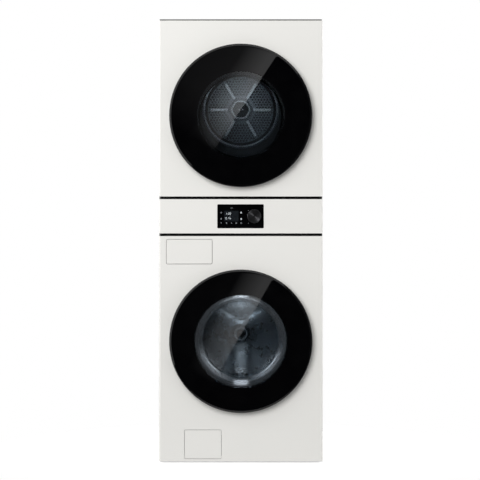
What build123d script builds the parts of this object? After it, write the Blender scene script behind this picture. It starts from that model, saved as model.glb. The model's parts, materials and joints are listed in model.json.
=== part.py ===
from build123d import *
import math
import os

# Laundry tower: a dryer above a washer in one cabinet, with a shared control fascia between them.
# Frame: x to the right, y to the back, z up; the front faces -y; the floor is z = 0.
# A depth is a distance behind the plane of the front panels.

os.makedirs("parts", exist_ok=True)

# Cabinet
body_width = 686.0
body_depth = 730.0
door_proud = 48.0
stub_reach = 25.0
sheet = 1.2
floor_gap = 6.0
washer_panel_height = 942.1
strip_height = 11.4
fascia_height = 143.0
dryer_panel_height = 735.7
top_cover_height = 5.4
top_cover_inset = 4.0
pan_depth = 38.0
corner_radius = 9.0
strip_recess = 2.0
strip_wall = 2.0
seam = 0.3
flange = 18.0
base_height = 24.0
deck_rise = 40.0
deck_flange = 20.0

# Feet and fasteners
foot_inset = 53.0
foot_front_depth = 90.0
foot_rear_margin = 50.0
foot_pad_radius = 20.0
foot_pad_height = 10.0
foot_edge = 2.5
foot_collar_radius = 10.0
foot_stem_radius = 5.0
foot_stem_rise = 40.0
nut_flat_radius = 8.5
nut_height = 8.0
hex_sides = 6
thread_clearance = 0.1
screw_radius = 2.0
screw_head_radius = 4.5
screw_head_height = 3.0
screw_edge = 10.0
screws_per_edge = 4

# Control fascia
fascia_wall = 2.5
display_x = -1.0
display_width = 194.0
display_height = 100.0
display_thickness = 3.0
display_radius = 4.0
display_ledge = 5.0
display_rim = 6.0
display_frame_depth = 8.0
fit_gap = 0.3
board_depth = 18.0
dial_x = 56.0
dial_radius = 29.0
dial_proud = 20.0
dial_gap = 1.0
dial_edge = 2.0
dial_grip_depth = 5.0
encoder_radius = 8.0
spindle_radius = 3.0
spindle_hole_radius = 4.0
running_fit = 0.05

# Doors, the same on both machines
washer_door_drop = 437.1
dryer_door_rise = 336.1
glass_radius = 298.0
glass_thickness = 8.0
glass_bevel = 1.5
door_gap = 2.0
door_ring_radius = 255.0
door_ring_wall = 4.0
bowl_mouth_radius = 193.0
bowl_flange = 12.0
bowl_wall = 4.5
bowl_taper = 0.2236
washer_bowl_depth = 128.0
dryer_window_depth = 40.0
bowl_edge_radius = 12.0
shelf_clearance = 3.0
panel_opening_radius = 206.0
opening_lip = 14.0
hinge_inset = 15.0
hinge_pin_radius = 4.0
hinge_barrel_radius = 8.5
hinge_back = 10.0
hinge_half_height = 48.0
hinge_lug_height = 14.0
hinge_plate_thickness = 4.0
hinge_plate_width = 26.0
hinge_arm_half = 4.25
hinge_lug_back = 2.5
catch_x = 232.0
catch_width = 8.0
catch_height = 26.0
catch_reach = 16.0
catch_swing = 4.0
catch_box_depth = 30.0
catch_box_wall = 3.0

# Washer: drawer and pump hatch
drawer_inset = 32.0
drawer_width = 191.0
drawer_height = 102.0
drawer_drop = 14.1
drawer_front_thickness = 12.0
drawer_front_radius = 6.0
drawer_edge = 1.0
reveal = 1.5
drawer_tray_inset = 4.0
drawer_tray_height = 78.0
drawer_tray_depth = 255.0
drawer_wall = 2.5
drawer_runner_width = 6.0
drawer_runner_inset = 8.0
softener_width = 58.0
prewash_width = 48.0
hatch_inset = 108.0
hatch_width = 153.0
hatch_height = 119.0
hatch_rise = 12.0
hatch_thickness = 3.0
hatch_radius = 5.0
hatch_axis_depth = 5.0
hatch_axis_rise = 6.0
hatch_pin_radius = 2.0
hatch_lug = 6.0
hatch_lug_radius = 4.0
hatch_ear = 3.0
hatch_ear_radius = 5.0

# Washer: tub, drum and drive
tub_radius = 280.0
tub_wall = 5.0
tub_mouth_radius = 200.0
tub_neck = 14.0
tub_front_depth = 108.0
tub_split_depth = 330.0
tub_rear_room = 158.0
tub_flange = 11.0
tub_flange_thickness = 8.0
drum_radius = 265.0
drum_wall = 1.2
drum_lip_radius = 205.0
drum_front_gap = 15.0
drum_back_gap = 27.0
spoke_width = 66.0
spoke_height = 10.0
spoke_hub_radius = 60.0
spoke_margin = 8.0
spoke_count = 3
spoke_angle = 270.0
lifter_count = 3
lifter_angle = 90.0
lifter_width = 70.0
lifter_crest = 26.0
lifter_height = 55.0
lifter_margin = 22.0
spider_arm_width = 40.0
spider_arm_thickness = 12.0
spider_hub_radius = 32.0
spider_hub_length = 22.0
shaft_radius = 15.0
bearing_radius = 31.0
bearing_width = 18.0
bearing_margin = 3.0
bearing_fit = 0.02
housing_radius = 46.0
housing_length = 55.0
stator_radius = 125.0
stator_bore = 36.0
stator_width = 20.0
stator_teeth = 24
tooth_depth = 22.0
tooth_slot = 8.0
rotor_gap = 1.0
rotor_standoff = 6.0
rotor_rim = 12.0
rotor_plate = 4.0
rotor_hub_radius = 26.0
gasket_radius = 190.0
gasket_wall = 4.0
gasket_fold_height = 22.0
gasket_fold_start = 20.5
gasket_fold_rise = 10.0
gasket_fold_top = 12.0
weight_inner_radius = 226.0
weight_outer_radius = 284.0
weight_thickness = 50.0
weight_gap = 70.0
spring_x = 165.0
spring_radius = 14.0
spring_wall = 3.5
spring_end = 30.0
spring_rod_radius = 3.0
damper_x = 150.0
damper_radius = 16.0
damper_rod_radius = 6.0
damper_stroke = 70.0
lug_half_width = 12.0
lug_length = 16.0
lug_rise = 15.0
lug_root = 25.0

# Washer: water
pump_rise = 47.0
filter_radius = 30.0
pump_wall = 6.0
pump_front_depth = 34.0
filter_chamber_depth = 190.0
pump_motor_radius = 42.0
pump_motor_length = 65.0
pump_foot_half_width = 30.0
filter_plug_length = 34.0
filter_handle_reach = 14.0
filter_handle_thickness = 10.0
filter_handle_height = 44.0
filter_basket_radius = 26.0
filter_basket_length = 110.0
filter_basket_wall = 2.0
sump_depth = 150.0
sump_radius = 26.0
sump_bore = 20.0
sump_stub = 12.0
sump_port = 30.0
hose_radius = 11.0
hose_bore = 8.0
hose_offset = 118.5
hose_bend = 40.0
outlet_radius = 14.0
outlet_reach = 60.0
outlet_depth_in_motor = 35.0
valve_count = 2
valve_inset = 36.0
valve_spacing = 75.0
valve_drop = 52.0
valve_width = 36.0
valve_height = 50.0
valve_length = 54.0
valve_spigot_radius = 13.2
fill_hose_radius = 9.0
fill_hose_bore = 6.5
valve_nozzle = 20.0
panel_hole_clearance = 0.8
spigot_step = 0.5

# Dryer: drum, bulkheads and air path
dryer_drum_rise = 74.0
dryer_drum_radius = 293.0
dryer_drum_wall = 1.2
bulkhead_depth = 62.0
bulkhead_sheet = 2.0
bulkhead_inset = 3.0
bulkhead_top_gap = 5.0
spigot_radius = 285.0
spigot_wall = 2.0
spigot_length = 66.0
inner_plate_depth = 110.0
tunnel_radius = 200.0
tunnel_front_depth = 16.0
tunnel_wall = 2.0
dryer_drum_front_depth = 114.0
dryer_rear_room = 108.0
rear_bulkhead_gap = 10.0
rear_spigot_length = 32.0
felt_gap = 0.4
felt_length = 14.0
dryer_lifter_width = 60.0
dryer_lifter_crest = 22.0
dryer_lifter_height = 60.0
dryer_lifter_margin = 60.0
screen_radius = 176.0
screen_thickness = 2.0
screen_rim_width = 7.0
screen_rim_height = 6.0
screen_groove_width = 20.0
screen_groove_depth = 4.0
screen_hub_radius = 40.0
screen_hub_height = 8.0
screen_boss_radius = 24.0
screen_boss_height = 16.0
screen_hub_rounding = 0.25
screen_sectors = 6
screen_rib_width = 10.0
screen_rib_height = 4.0
screen_rib_reach = 132.0
screen_hole_radius = 3.0
screen_hole_pitch = 12.0
screen_hole_margin = 6.0
screen_field_radius = 138.0
screen_standoff = 8.0
air_hole_radius = 158.0
roller_angle = 40.0
roller_radius = 36.0
roller_width = 20.0
roller_pin_radius = 6.0
roller_inset = 8.0
contact_gap = 0.3
heater_depth = 54.0
heater_radius = 205.0
heater_wall = 1.5
chute_half_width = 95.0
chute_near = 70.0
chute_length = 28.0
chute_wall = 2.0
chute_floor_rise = 60.0
chute_top_drop = 178.0
lint_grip = 12.0
lint_frame = 6.0
lint_floor_gap = 5.0
motor_x = 45.0
motor_rise = 109.0
motor_radius = 62.0
motor_length = 134.0
motor_gap = 6.0
motor_foot_half_width = 40.0
motor_foot_length = 90.0
motor_shaft_radius = 6.0
fan_radius = 75.0
fan_inlet_radius = 45.0
fan_blades = 12
fan_blade_thickness = 2.5
fan_hub_radius = 16.0
fan_backplate = 3.0
scroll_radius = 95.0
scroll_length = 92.0
scroll_wall = 2.5
exhaust_inset = 93.0
exhaust_rise = 70.0
exhaust_radius = 50.8
exhaust_wall = 1.0
exhaust_step = 2.0
exhaust_box_half_width = 56.0
pulley_radius = 14.0
pulley_gap = 15.0
pulley_flange = 3.0
pulley_flange_rise = 3.5
belt_width = 12.0
belt_thickness = 3.0
gland_inset = 83.0
gland_rise = 90.0
gland_radius = 16.0
gland_bore = 11.0
gland_length = 14.0
gland_neck_radius = 13.5
gland_head = 7.0
gland_lip = 3.5

# Planes and levels worked out from the driving sizes
half_width = body_width / 2
face_y = door_proud - (door_proud + body_depth + stub_reach) / 2
inner_half = half_width - sheet - seam
washer_top = floor_gap + washer_panel_height
fascia_low = washer_top + strip_height
fascia_top = fascia_low + fascia_height
dryer_low = fascia_top + strip_height
dryer_top = dryer_low + dryer_panel_height
cabinet_top = dryer_top + top_cover_height
frame_depth = pan_depth + seam
back_depth = body_depth - sheet
stub_depth = body_depth + stub_reach
base_top = floor_gap + base_height + sheet
deck_z = fascia_low + deck_rise
deck_top = deck_z + sheet
control_z = (fascia_low + fascia_top) / 2
glass_sides = (display_x - display_width / 2, display_x + display_width / 2)
glass_levels = (control_z - display_height / 2, control_z + display_height / 2)
washer_z = washer_top - washer_door_drop
dryer_door_z = dryer_low + dryer_door_rise
dryer_z = dryer_door_z + dryer_drum_rise
foot_places = [
    (side * (half_width - foot_inset), depth)
    for side in (-1, 1)
    for depth in (foot_front_depth, body_depth - foot_rear_margin)
]


def front_plane(depth):
    """Sketch plane facing the front at a depth: sketch x is x, sketch y is z."""
    return Plane.XZ.offset(-(face_y + depth))


def block(x_sides, depths, levels, mode=Mode.ADD):
    """A box between two x values, two depths and two heights, each pair in any order."""
    spans = [sorted(pair) for pair in (x_sides, depths, levels)]
    middle = [(low + high) / 2 for low, high in spans]
    with Locations((middle[0], face_y + middle[1], middle[2])):
        Box(*[high - low for low, high in spans], mode=mode)


def rod(x, z, near, far, radius, mode=Mode.ADD):
    """A round bar that runs from front to back."""
    with BuildSketch(front_plane(far)) as end:
        with Locations((x, z)):
            Circle(radius)
    extrude(end.sketch, amount=far - near, mode=mode)


def post(x, depth, low, high, radius, mode=Mode.ADD):
    """A round bar that stands upright."""
    with BuildSketch(Plane.XY.offset(low)) as end:
        with Locations((x, face_y + depth)):
            Circle(radius)
    extrude(end.sketch, amount=high - low, mode=mode)


def crossbar(depth, z, left, right, radius, mode=Mode.ADD):
    """A round bar that runs from left to right."""
    with BuildSketch(Plane.YZ.offset(left)) as end:
        with Locations((face_y + depth, z)):
            Circle(radius)
    extrude(end.sketch, amount=right - left, mode=mode)


def turned(x, z, *outline, mode=Mode.ADD):
    """A closed outline of (depth, radius) points turned about the front-to-back axis at x, z."""
    axial = Plane(origin=(x, face_y, z), x_dir=(0, 1, 0), z_dir=(1, 0, 0))
    with BuildSketch(axial) as profile:
        with BuildLine():
            Polyline(*outline, close=True)
        make_face()
    revolve(profile.sketch, axis=Axis((x, face_y, z), (0, 1, 0)), mode=mode)


def tube(x, z, near, far, bore, radius):
    """A round pipe that runs from front to back."""
    turned(x, z, (near, bore), (far, bore), (far, radius), (near, radius))


def front_pan(low, high, wall, inset=0.0):
    """A shallow box across the front, open at the back, with rounded upright edges."""
    for shrink, mode in ((0.0, Mode.ADD), (wall, Mode.SUBTRACT)):
        with BuildSketch(Plane.XY.offset(low + shrink)) as outline:
            with Locations((0, face_y + inset + shrink + (pan_depth - inset) / 2)):
                Rectangle(body_width - 2 * (inset + shrink), pan_depth - inset)
            fillet(outline.vertices().group_by(Axis.Y)[0], corner_radius - shrink)
        extrude(outline.sketch, amount=high - low - 2 * shrink, mode=mode)


def rounded_plate(x_sides, levels, near, far, radius, mode=Mode.ADD):
    """A plate facing the front with rounded corners."""
    with BuildSketch(front_plane(far)) as outline:
        with Locations((sum(x_sides) / 2, sum(levels) / 2)):
            RectangleRounded(x_sides[1] - x_sides[0], levels[1] - levels[0], radius)
    extrude(outline.sketch, amount=far - near, mode=mode)


def save(builder, label):
    """Name a finished piece and write it to its own file."""
    builder.part.label = label
    export_step(builder.part, f"parts/{label}.step")


# Screws along the rear edges: one column on each side of each rear panel
def screw_places(low, high):
    """Places of the screws that hold one rear panel to the side flanges."""
    pitch = (high - low - 2 * screw_edge) / (screws_per_edge - 1)
    return [
        (side * (half_width - screw_edge), low + screw_edge + step * pitch)
        for side in (-1, 1)
        for step in range(screws_per_edge)
    ]


lower_screws = screw_places(floor_gap, deck_top)
upper_screws = screw_places(deck_top, dryer_top)


def screw_holes(places, near, far):
    """Clearance holes for the rear screws."""
    for x, z in places:
        rod(x, z, near, far, screw_radius + running_fit, mode=Mode.SUBTRACT)


# Base pan: a raised floor plate with a skirt down to the floor gap
with BuildPart() as base_pan:
    base_rear = back_depth - sheet - seam
    block((-inner_half, inner_half), (frame_depth, base_rear), (floor_gap, base_top))
    block(
        (sheet - inner_half, inner_half - sheet),
        (frame_depth + sheet, base_rear - sheet),
        (floor_gap, base_top - sheet),
        mode=Mode.SUBTRACT,
    )
    for x, depth in foot_places:
        post(x, depth, floor_gap, base_top, foot_stem_radius + thread_clearance, mode=Mode.SUBTRACT)
save(base_pan, "base_pan")

# Levelling feet, each a pad with a collar under the base plate and a threaded stem, and its lock nut
with BuildPart() as levelling_feet:
    for x, depth in foot_places:
        post(x, depth, 0, foot_pad_height, foot_pad_radius)
        post(x, depth, foot_pad_height, base_top - sheet, foot_collar_radius)
        post(x, depth, base_top - sheet, base_top + foot_stem_rise, foot_stem_radius)
    chamfer(levelling_feet.edges().group_by(Axis.Z)[0], foot_edge)
    with BuildSketch(Plane.XY.offset(base_top)) as nut_outline:
        with Locations(*[(x, face_y + depth) for x, depth in foot_places]):
            RegularPolygon(nut_flat_radius, hex_sides, major_radius=False)
            Circle(foot_stem_radius + thread_clearance, mode=Mode.SUBTRACT)
    extrude(nut_outline.sketch, amount=nut_height)
save(levelling_feet, "levelling_feet")


def side_panel(side):
    """One full-height side sheet with front, rear and top flanges turned inwards."""
    outer = side * half_width
    inner = side * (half_width - sheet)
    turn = side * (half_width - flange)
    rear = back_depth
    block((outer, inner), (frame_depth, rear), (floor_gap, dryer_top))
    block((inner, turn), (frame_depth, frame_depth + sheet), (base_top + seam, dryer_top))
    block((inner, turn), (rear - sheet, rear), (floor_gap, dryer_top))
    block((inner, turn), (frame_depth, rear), (dryer_top - sheet, dryer_top))
    screw_holes(lower_screws + upper_screws, rear - sheet, rear)


with BuildPart() as side_panel_left:
    side_panel(-1)
save(side_panel_left, "side_panel_left")

with BuildPart() as side_panel_right:
    side_panel(1)
save(side_panel_right, "side_panel_right")

# Deck between the machines, with flanges down against the side panels
with BuildPart() as mid_deck:
    deck_near = frame_depth + sheet + seam
    deck_far = back_depth - sheet - seam
    block((-inner_half, inner_half), (deck_near, deck_far), (deck_z, deck_top))
    for side in (-1, 1):
        edge = side * inner_half
        block((edge, edge - side * sheet), (deck_near, deck_far), (deck_z - deck_flange, deck_z))
save(mid_deck, "mid_deck")

# Top cover: a thin tray upside down on the side flanges
with BuildPart() as top_cover:
    cover_half = half_width - top_cover_inset
    cover_far = body_depth - top_cover_inset
    block((-cover_half, cover_half), (top_cover_inset, cover_far), (dryer_top, cabinet_top))
    block(
        (sheet - cover_half, cover_half - sheet),
        (top_cover_inset + sheet, cover_far - sheet),
        (dryer_top, cabinet_top - sheet),
        mode=Mode.SUBTRACT,
    )
save(top_cover, "top_cover")

# Black strips above and below the control fascia
with BuildPart() as trim_strips:
    front_pan(washer_top, fascia_low, strip_wall, inset=strip_recess)
    front_pan(fascia_top, dryer_low, strip_wall, inset=strip_recess)
save(trim_strips, "trim_strips")


def display_window(grow, near, far, mode=Mode.ADD):
    """A rectangle the size of the display glass, grown on every side."""
    block(
        (glass_sides[0] - grow, glass_sides[1] + grow),
        (near, far),
        (glass_levels[0] - grow, glass_levels[1] + grow),
        mode=mode,
    )


# Control fascia with a frame behind it that holds the display glass
with BuildPart() as control_fascia:
    front_pan(fascia_low, fascia_top, fascia_wall)
    display_window(display_rim, fascia_wall, display_frame_depth)
    display_window(-display_ledge, 0, display_frame_depth, mode=Mode.SUBTRACT)
    rounded_plate(
        (glass_sides[0] - fit_gap, glass_sides[1] + fit_gap),
        (glass_levels[0] - fit_gap, glass_levels[1] + fit_gap),
        0,
        display_thickness,
        display_radius + fit_gap,
        mode=Mode.SUBTRACT,
    )
save(control_fascia, "control_fascia")

with BuildPart() as display_glass:
    rounded_plate(glass_sides, glass_levels, 0, display_thickness, display_radius)
    rod(dial_x, control_z, 0, display_thickness, spindle_hole_radius, mode=Mode.SUBTRACT)
save(display_glass, "display_glass")

# Control board housing behind the display, with the rotary encoder and its spindle
with BuildPart() as control_board:
    display_window(0, display_frame_depth, display_frame_depth + board_depth)
    rod(dial_x, control_z, display_thickness + seam, display_frame_depth, encoder_radius)
    spindle_front = dial_gap - dial_proud + dial_grip_depth
    rod(dial_x, control_z, spindle_front, display_thickness + seam, spindle_radius)
save(control_board, "control_board")

with BuildPart() as dial_knob:
    rod(dial_x, control_z, -dial_proud, -dial_gap, dial_radius)
    chamfer(dial_knob.edges().group_by(Axis.Y)[0], dial_edge)
    bore_front = spindle_front - fit_gap
    rod(dial_x, control_z, bore_front, 0, spindle_radius + running_fit, mode=Mode.SUBTRACT)
save(dial_knob, "dial_knob")

# Door planes: the glass stands in front of a ring that carries the bowl, the hinge arm and the catch
glass_rear = glass_thickness - door_proud
bowl_front = glass_rear + door_ring_wall
shelf_depth = bowl_front + bowl_wall
bowl_flange_radius = bowl_mouth_radius + bowl_flange
hinge_x = hinge_inset - glass_radius
hinge_depth = glass_rear + hinge_back
arm_half_height = hinge_half_height - hinge_lug_height - seam
drawer_left = drawer_inset - half_width
drawer_right = drawer_left + drawer_width
drawer_low = washer_top - drawer_drop - drawer_height
drawer_high = drawer_low + drawer_height
hatch_left = hatch_inset - half_width
hatch_right = hatch_left + hatch_width
hatch_low = floor_gap + hatch_rise
hatch_high = hatch_low + hatch_height
hatch_axis_z = hatch_low + hatch_axis_rise
pump_x = (hatch_left + hatch_right) / 2
pump_z = base_top + pump_rise
hose_x = pump_x + hose_offset
valve_places = [drawer_left + valve_inset + step * valve_spacing for step in range(valve_count)]
valve_z = washer_top - valve_drop
exhaust_x = half_width - exhaust_inset
exhaust_z = deck_top + exhaust_rise
gland_x = gland_inset - half_width
gland_z = deck_top + gland_rise


def door_opening(door_z):
    """The round opening in a front panel with its lip, and the slot for the door catch."""
    rod(0, door_z, 0, sheet, panel_opening_radius, mode=Mode.SUBTRACT)
    tube(0, door_z, 0, opening_lip, panel_opening_radius, panel_opening_radius + sheet)
    block(
        (catch_x - catch_width / 2 - fit_gap, catch_x + catch_width / 2 + catch_swing),
        (0, sheet),
        (door_z - catch_height / 2 - fit_gap, door_z + catch_height / 2 + fit_gap),
        mode=Mode.SUBTRACT,
    )


with BuildPart() as washer_front_panel:
    front_pan(floor_gap, washer_top, sheet)
    door_opening(washer_z)
    rounded_plate(
        (drawer_left - reveal, drawer_right + reveal),
        (drawer_low - reveal, drawer_high + reveal),
        0,
        sheet,
        drawer_front_radius + reveal,
        mode=Mode.SUBTRACT,
    )
    rounded_plate(
        (hatch_left - reveal, hatch_right + reveal),
        (hatch_low - reveal, hatch_high + reveal),
        0,
        sheet,
        hatch_radius + reveal,
        mode=Mode.SUBTRACT,
    )
    # Ears behind the sheet with bores for the hatch pins
    for edge, side in ((hatch_left, -1), (hatch_right, 1)):
        near_edge = edge + side * reveal / 2
        far_edge = near_edge + side * hatch_ear
        ear_levels = (hatch_axis_z - hatch_ear_radius, hatch_axis_z + hatch_ear_radius)
        block((near_edge, far_edge), (sheet, hatch_axis_depth + hatch_ear_radius), ear_levels)
        bore_sides = sorted((near_edge, far_edge))
        crossbar(
            hatch_axis_depth,
            hatch_axis_z,
            *bore_sides,
            hatch_pin_radius + running_fit,
            mode=Mode.SUBTRACT,
        )
save(washer_front_panel, "washer_front_panel")

with BuildPart() as dryer_front_panel:
    front_pan(dryer_low, dryer_top, sheet)
    door_opening(dryer_door_z)
save(dryer_front_panel, "dryer_front_panel")

with BuildPart() as rear_panel_lower:
    block((-half_width, half_width), (back_depth, body_depth), (floor_gap, deck_top))
    screw_holes(lower_screws, back_depth, body_depth)
    rod(
        hose_x,
        pump_z,
        back_depth,
        body_depth,
        hose_radius + panel_hole_clearance,
        mode=Mode.SUBTRACT,
    )
    for x in valve_places:
        rod(
            x,
            valve_z,
            back_depth,
            body_depth,
            valve_spigot_radius + panel_hole_clearance,
            mode=Mode.SUBTRACT,
        )
save(rear_panel_lower, "rear_panel_lower")

with BuildPart() as rear_panel_upper:
    block((-half_width, half_width), (back_depth, body_depth), (deck_top, dryer_top))
    screw_holes(upper_screws, back_depth, body_depth)
    rod(
        exhaust_x,
        exhaust_z,
        back_depth,
        body_depth,
        exhaust_radius + panel_hole_clearance,
        mode=Mode.SUBTRACT,
    )
    rod(
        gland_x,
        gland_z,
        back_depth,
        body_depth,
        gland_neck_radius + running_fit,
        mode=Mode.SUBTRACT,
    )
save(rear_panel_upper, "rear_panel_upper")

# Bush in the rear panel for the supply cord
with BuildPart() as cord_gland:
    turned(
        gland_x,
        gland_z,
        (body_depth - gland_length, gland_bore),
        (body_depth + gland_head, gland_bore),
        (body_depth + gland_head, gland_neck_radius),
        (body_depth + gland_lip, gland_radius),
        (body_depth, gland_radius),
        (body_depth, gland_neck_radius),
        (body_depth - gland_length, gland_neck_radius),
    )
save(cord_gland, "cord_gland")

with BuildPart() as rear_screws:
    for x, z in lower_screws + upper_screws:
        rod(x, z, back_depth - sheet, body_depth, screw_radius)
        rod(x, z, body_depth, body_depth + screw_head_height, screw_head_radius)
save(rear_screws, "rear_screws")


def glass_disc(door_z):
    """The flat black front glass of a door with a bevelled rim."""
    rim = glass_radius - glass_bevel
    turned(
        0,
        door_z,
        (-door_proud, 0),
        (glass_rear, 0),
        (glass_rear, rim),
        (glass_rear - glass_bevel, glass_radius),
        (glass_bevel - door_proud, glass_radius),
        (-door_proud, rim),
    )


def door_ring(door_z):
    """The door frame: a channel ring open to the front, with a catch tab on its back."""
    throat = bowl_mouth_radius + shelf_clearance
    plate_front = -door_gap - door_ring_wall
    turned(
        0,
        door_z,
        (shelf_depth, throat),
        (-door_gap, throat),
        (-door_gap, door_ring_radius),
        (glass_rear, door_ring_radius),
        (glass_rear, door_ring_radius - door_ring_wall),
        (plate_front, door_ring_radius - door_ring_wall),
        (plate_front, bowl_flange_radius),
        (shelf_depth, bowl_flange_radius),
    )
    block(
        (catch_x - catch_width / 2, catch_x + catch_width / 2),
        (plate_front, catch_reach),
        (door_z - catch_height / 2, door_z + catch_height / 2),
    )


def door_bowl(door_z, end_depth):
    """A glass bowl: a flange, a tapered wall and a flat end with rounded edges."""
    end_radius = bowl_mouth_radius - bowl_taper * (end_depth - bowl_front)
    shelf_radius = bowl_mouth_radius - bowl_taper * bowl_wall
    turned(
        0,
        door_z,
        (bowl_front, bowl_mouth_radius - bowl_wall),
        (bowl_front, bowl_flange_radius),
        (shelf_depth, bowl_flange_radius),
        (shelf_depth, shelf_radius),
        (end_depth, end_radius),
        (end_depth, 0),
        (end_depth - bowl_wall, 0),
        (end_depth - bowl_wall, end_radius - bowl_wall),
    )


def hinge_arm(door_z):
    """The door's hinge arm: a barrel on the pin and a plate against the ring."""
    post(hinge_x, hinge_depth, door_z - arm_half_height, door_z + arm_half_height, hinge_barrel_radius)
    block(
        (hinge_x, hinge_x + hinge_plate_width + hinge_barrel_radius),
        (hinge_depth - hinge_arm_half, hinge_depth + hinge_arm_half),
        (door_z - arm_half_height, door_z + arm_half_height),
    )
    rod(0, door_z, -door_proud, 0, door_ring_radius + running_fit, mode=Mode.SUBTRACT)
    post(
        hinge_x,
        hinge_depth,
        door_z - hinge_half_height,
        door_z + hinge_half_height,
        hinge_pin_radius + running_fit,
        mode=Mode.SUBTRACT,
    )


def hinge_bracket(door_z):
    """A plate on the panel face with two lugs that hold the hinge pin."""
    plate_left = hinge_x - hinge_lug_back
    block(
        (plate_left, plate_left + hinge_plate_width),
        (-hinge_plate_thickness, 0),
        (door_z - hinge_half_height, door_z + hinge_half_height),
    )
    for low in (door_z - hinge_half_height, door_z + hinge_half_height - hinge_lug_height):
        post(hinge_x, hinge_depth, low, low + hinge_lug_height, hinge_barrel_radius)
        block(
            (plate_left, hinge_x + hinge_barrel_radius),
            (hinge_depth, -hinge_plate_thickness),
            (low, low + hinge_lug_height),
        )
    post(hinge_x, hinge_depth, door_z - hinge_half_height, door_z + hinge_half_height, hinge_pin_radius)


def door_catch(door_z):
    """A catch box behind the panel slot, open to the front."""
    inner_sides = (catch_x - catch_width / 2 - fit_gap, catch_x + catch_width / 2 + catch_swing)
    inner_levels = (door_z - catch_height / 2 - fit_gap, door_z + catch_height / 2 + fit_gap)
    wall = catch_box_wall
    block(
        (inner_sides[0] - wall, inner_sides[1] + wall),
        (sheet, sheet + catch_box_depth),
        (inner_levels[0] - wall, inner_levels[1] + wall),
    )
    block(inner_sides, (sheet, sheet + catch_box_depth - wall), inner_levels, mode=Mode.SUBTRACT)


with BuildPart() as washer_door_glass:
    glass_disc(washer_z)
save(washer_door_glass, "washer_door_glass")

with BuildPart() as washer_door_ring:
    door_ring(washer_z)
save(washer_door_ring, "washer_door_ring")

with BuildPart() as washer_door_bowl:
    door_bowl(washer_z, washer_bowl_depth)
    end_circles = washer_door_bowl.edges().filter_by(GeomType.CIRCLE).group_by(Axis.Y)
    fillet(end_circles[-1], bowl_edge_radius)
    fillet(end_circles[-2], bowl_edge_radius - bowl_wall)
save(washer_door_bowl, "washer_door_bowl")

with BuildPart() as washer_hinge_arm:
    hinge_arm(washer_z)
save(washer_hinge_arm, "washer_hinge_arm")

with BuildPart() as dryer_door_glass:
    glass_disc(dryer_door_z)
save(dryer_door_glass, "dryer_door_glass")

with BuildPart() as dryer_door_ring:
    door_ring(dryer_door_z)
save(dryer_door_ring, "dryer_door_ring")

with BuildPart() as dryer_door_window:
    door_bowl(dryer_door_z, dryer_window_depth)
save(dryer_door_window, "dryer_door_window")

with BuildPart() as dryer_hinge_arm:
    hinge_arm(dryer_door_z)
save(dryer_hinge_arm, "dryer_hinge_arm")

with BuildPart() as hinge_brackets:
    hinge_bracket(washer_z)
    hinge_bracket(dryer_door_z)
save(hinge_brackets, "hinge_brackets")

with BuildPart() as door_catches:
    door_catch(washer_z)
    door_catch(dryer_door_z)
save(door_catches, "door_catches")

# Washer planes
tub_outer_radius = tub_radius + tub_wall
tub_flange_radius = tub_outer_radius + tub_flange
neck_depth = tub_front_depth - tub_neck
tub_back_depth = body_depth - tub_rear_room
drum_front_depth = tub_front_depth + tub_wall + drum_front_gap
drum_back_depth = tub_back_depth - drum_back_gap
drum_inner_radius = drum_radius - drum_wall
housing_near = tub_back_depth + tub_wall
housing_far = housing_near + housing_length
stator_far = housing_far + stator_width
rotor_plate_depth = stator_far + rotor_standoff
shaft_far = rotor_plate_depth + rotor_plate + rotor_standoff
spring_lug_top = washer_z + math.sqrt(tub_flange_radius**2 - spring_x**2) + lug_rise
damper_lug_low = washer_z - math.sqrt(tub_flange_radius**2 - damper_x**2) - lug_rise
lug_depth = tub_split_depth + lug_length / 2
pump_motor_depth = filter_chamber_depth + pump_wall
sump_low = pump_z + filter_radius + pump_wall + sump_stub
sump_high = washer_z - math.sqrt(tub_outer_radius**2 - pump_x**2) - sump_port
outlet_depth = pump_motor_depth + outlet_depth_in_motor
hose_start = pump_x + outlet_reach
tray_low = drawer_low + drawer_tray_inset
tray_far = drawer_front_thickness + drawer_tray_depth
housing_back = tray_far + reveal + drawer_wall
valve_near = back_depth - valve_length


def lifter_row(z, wall_radius, width, crest, height, near, far):
    """Three tapered lifters standing on the inside of a drum wall."""
    with BuildSketch(front_plane(far)) as outline:
        with Locations((0, z)):
            with PolarLocations(0, lifter_count, start_angle=lifter_angle):
                Polygon(
                    (wall_radius, -width / 2),
                    (wall_radius, width / 2),
                    (wall_radius - height, crest / 2),
                    (wall_radius - height, -crest / 2),
                    align=None,
                )
            Circle(wall_radius, mode=Mode.INTERSECT)
    extrude(outline.sketch, amount=far - near)


def three_arms(z, hub, reach, width, near, far):
    """A hub with three straight arms, one of them pointing down."""
    with BuildSketch(front_plane(far)) as outline:
        with Locations((0, z)):
            Circle(hub)
            with PolarLocations(reach / 2, spoke_count, start_angle=spoke_angle):
                Rectangle(reach, width)
    extrude(outline.sketch, amount=far - near)


def tub_lugs(place_x, level):
    """Lugs on both sides of the tub flange, reaching to one level."""
    surface = washer_z + math.copysign(math.sqrt(tub_flange_radius**2 - place_x**2), level - washer_z)
    root = surface - math.copysign(lug_root, level - washer_z)
    for side in (-1, 1):
        block(
            (side * place_x - lug_half_width, side * place_x + lug_half_width),
            (tub_split_depth, tub_split_depth + lug_length),
            (root, level),
        )


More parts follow.
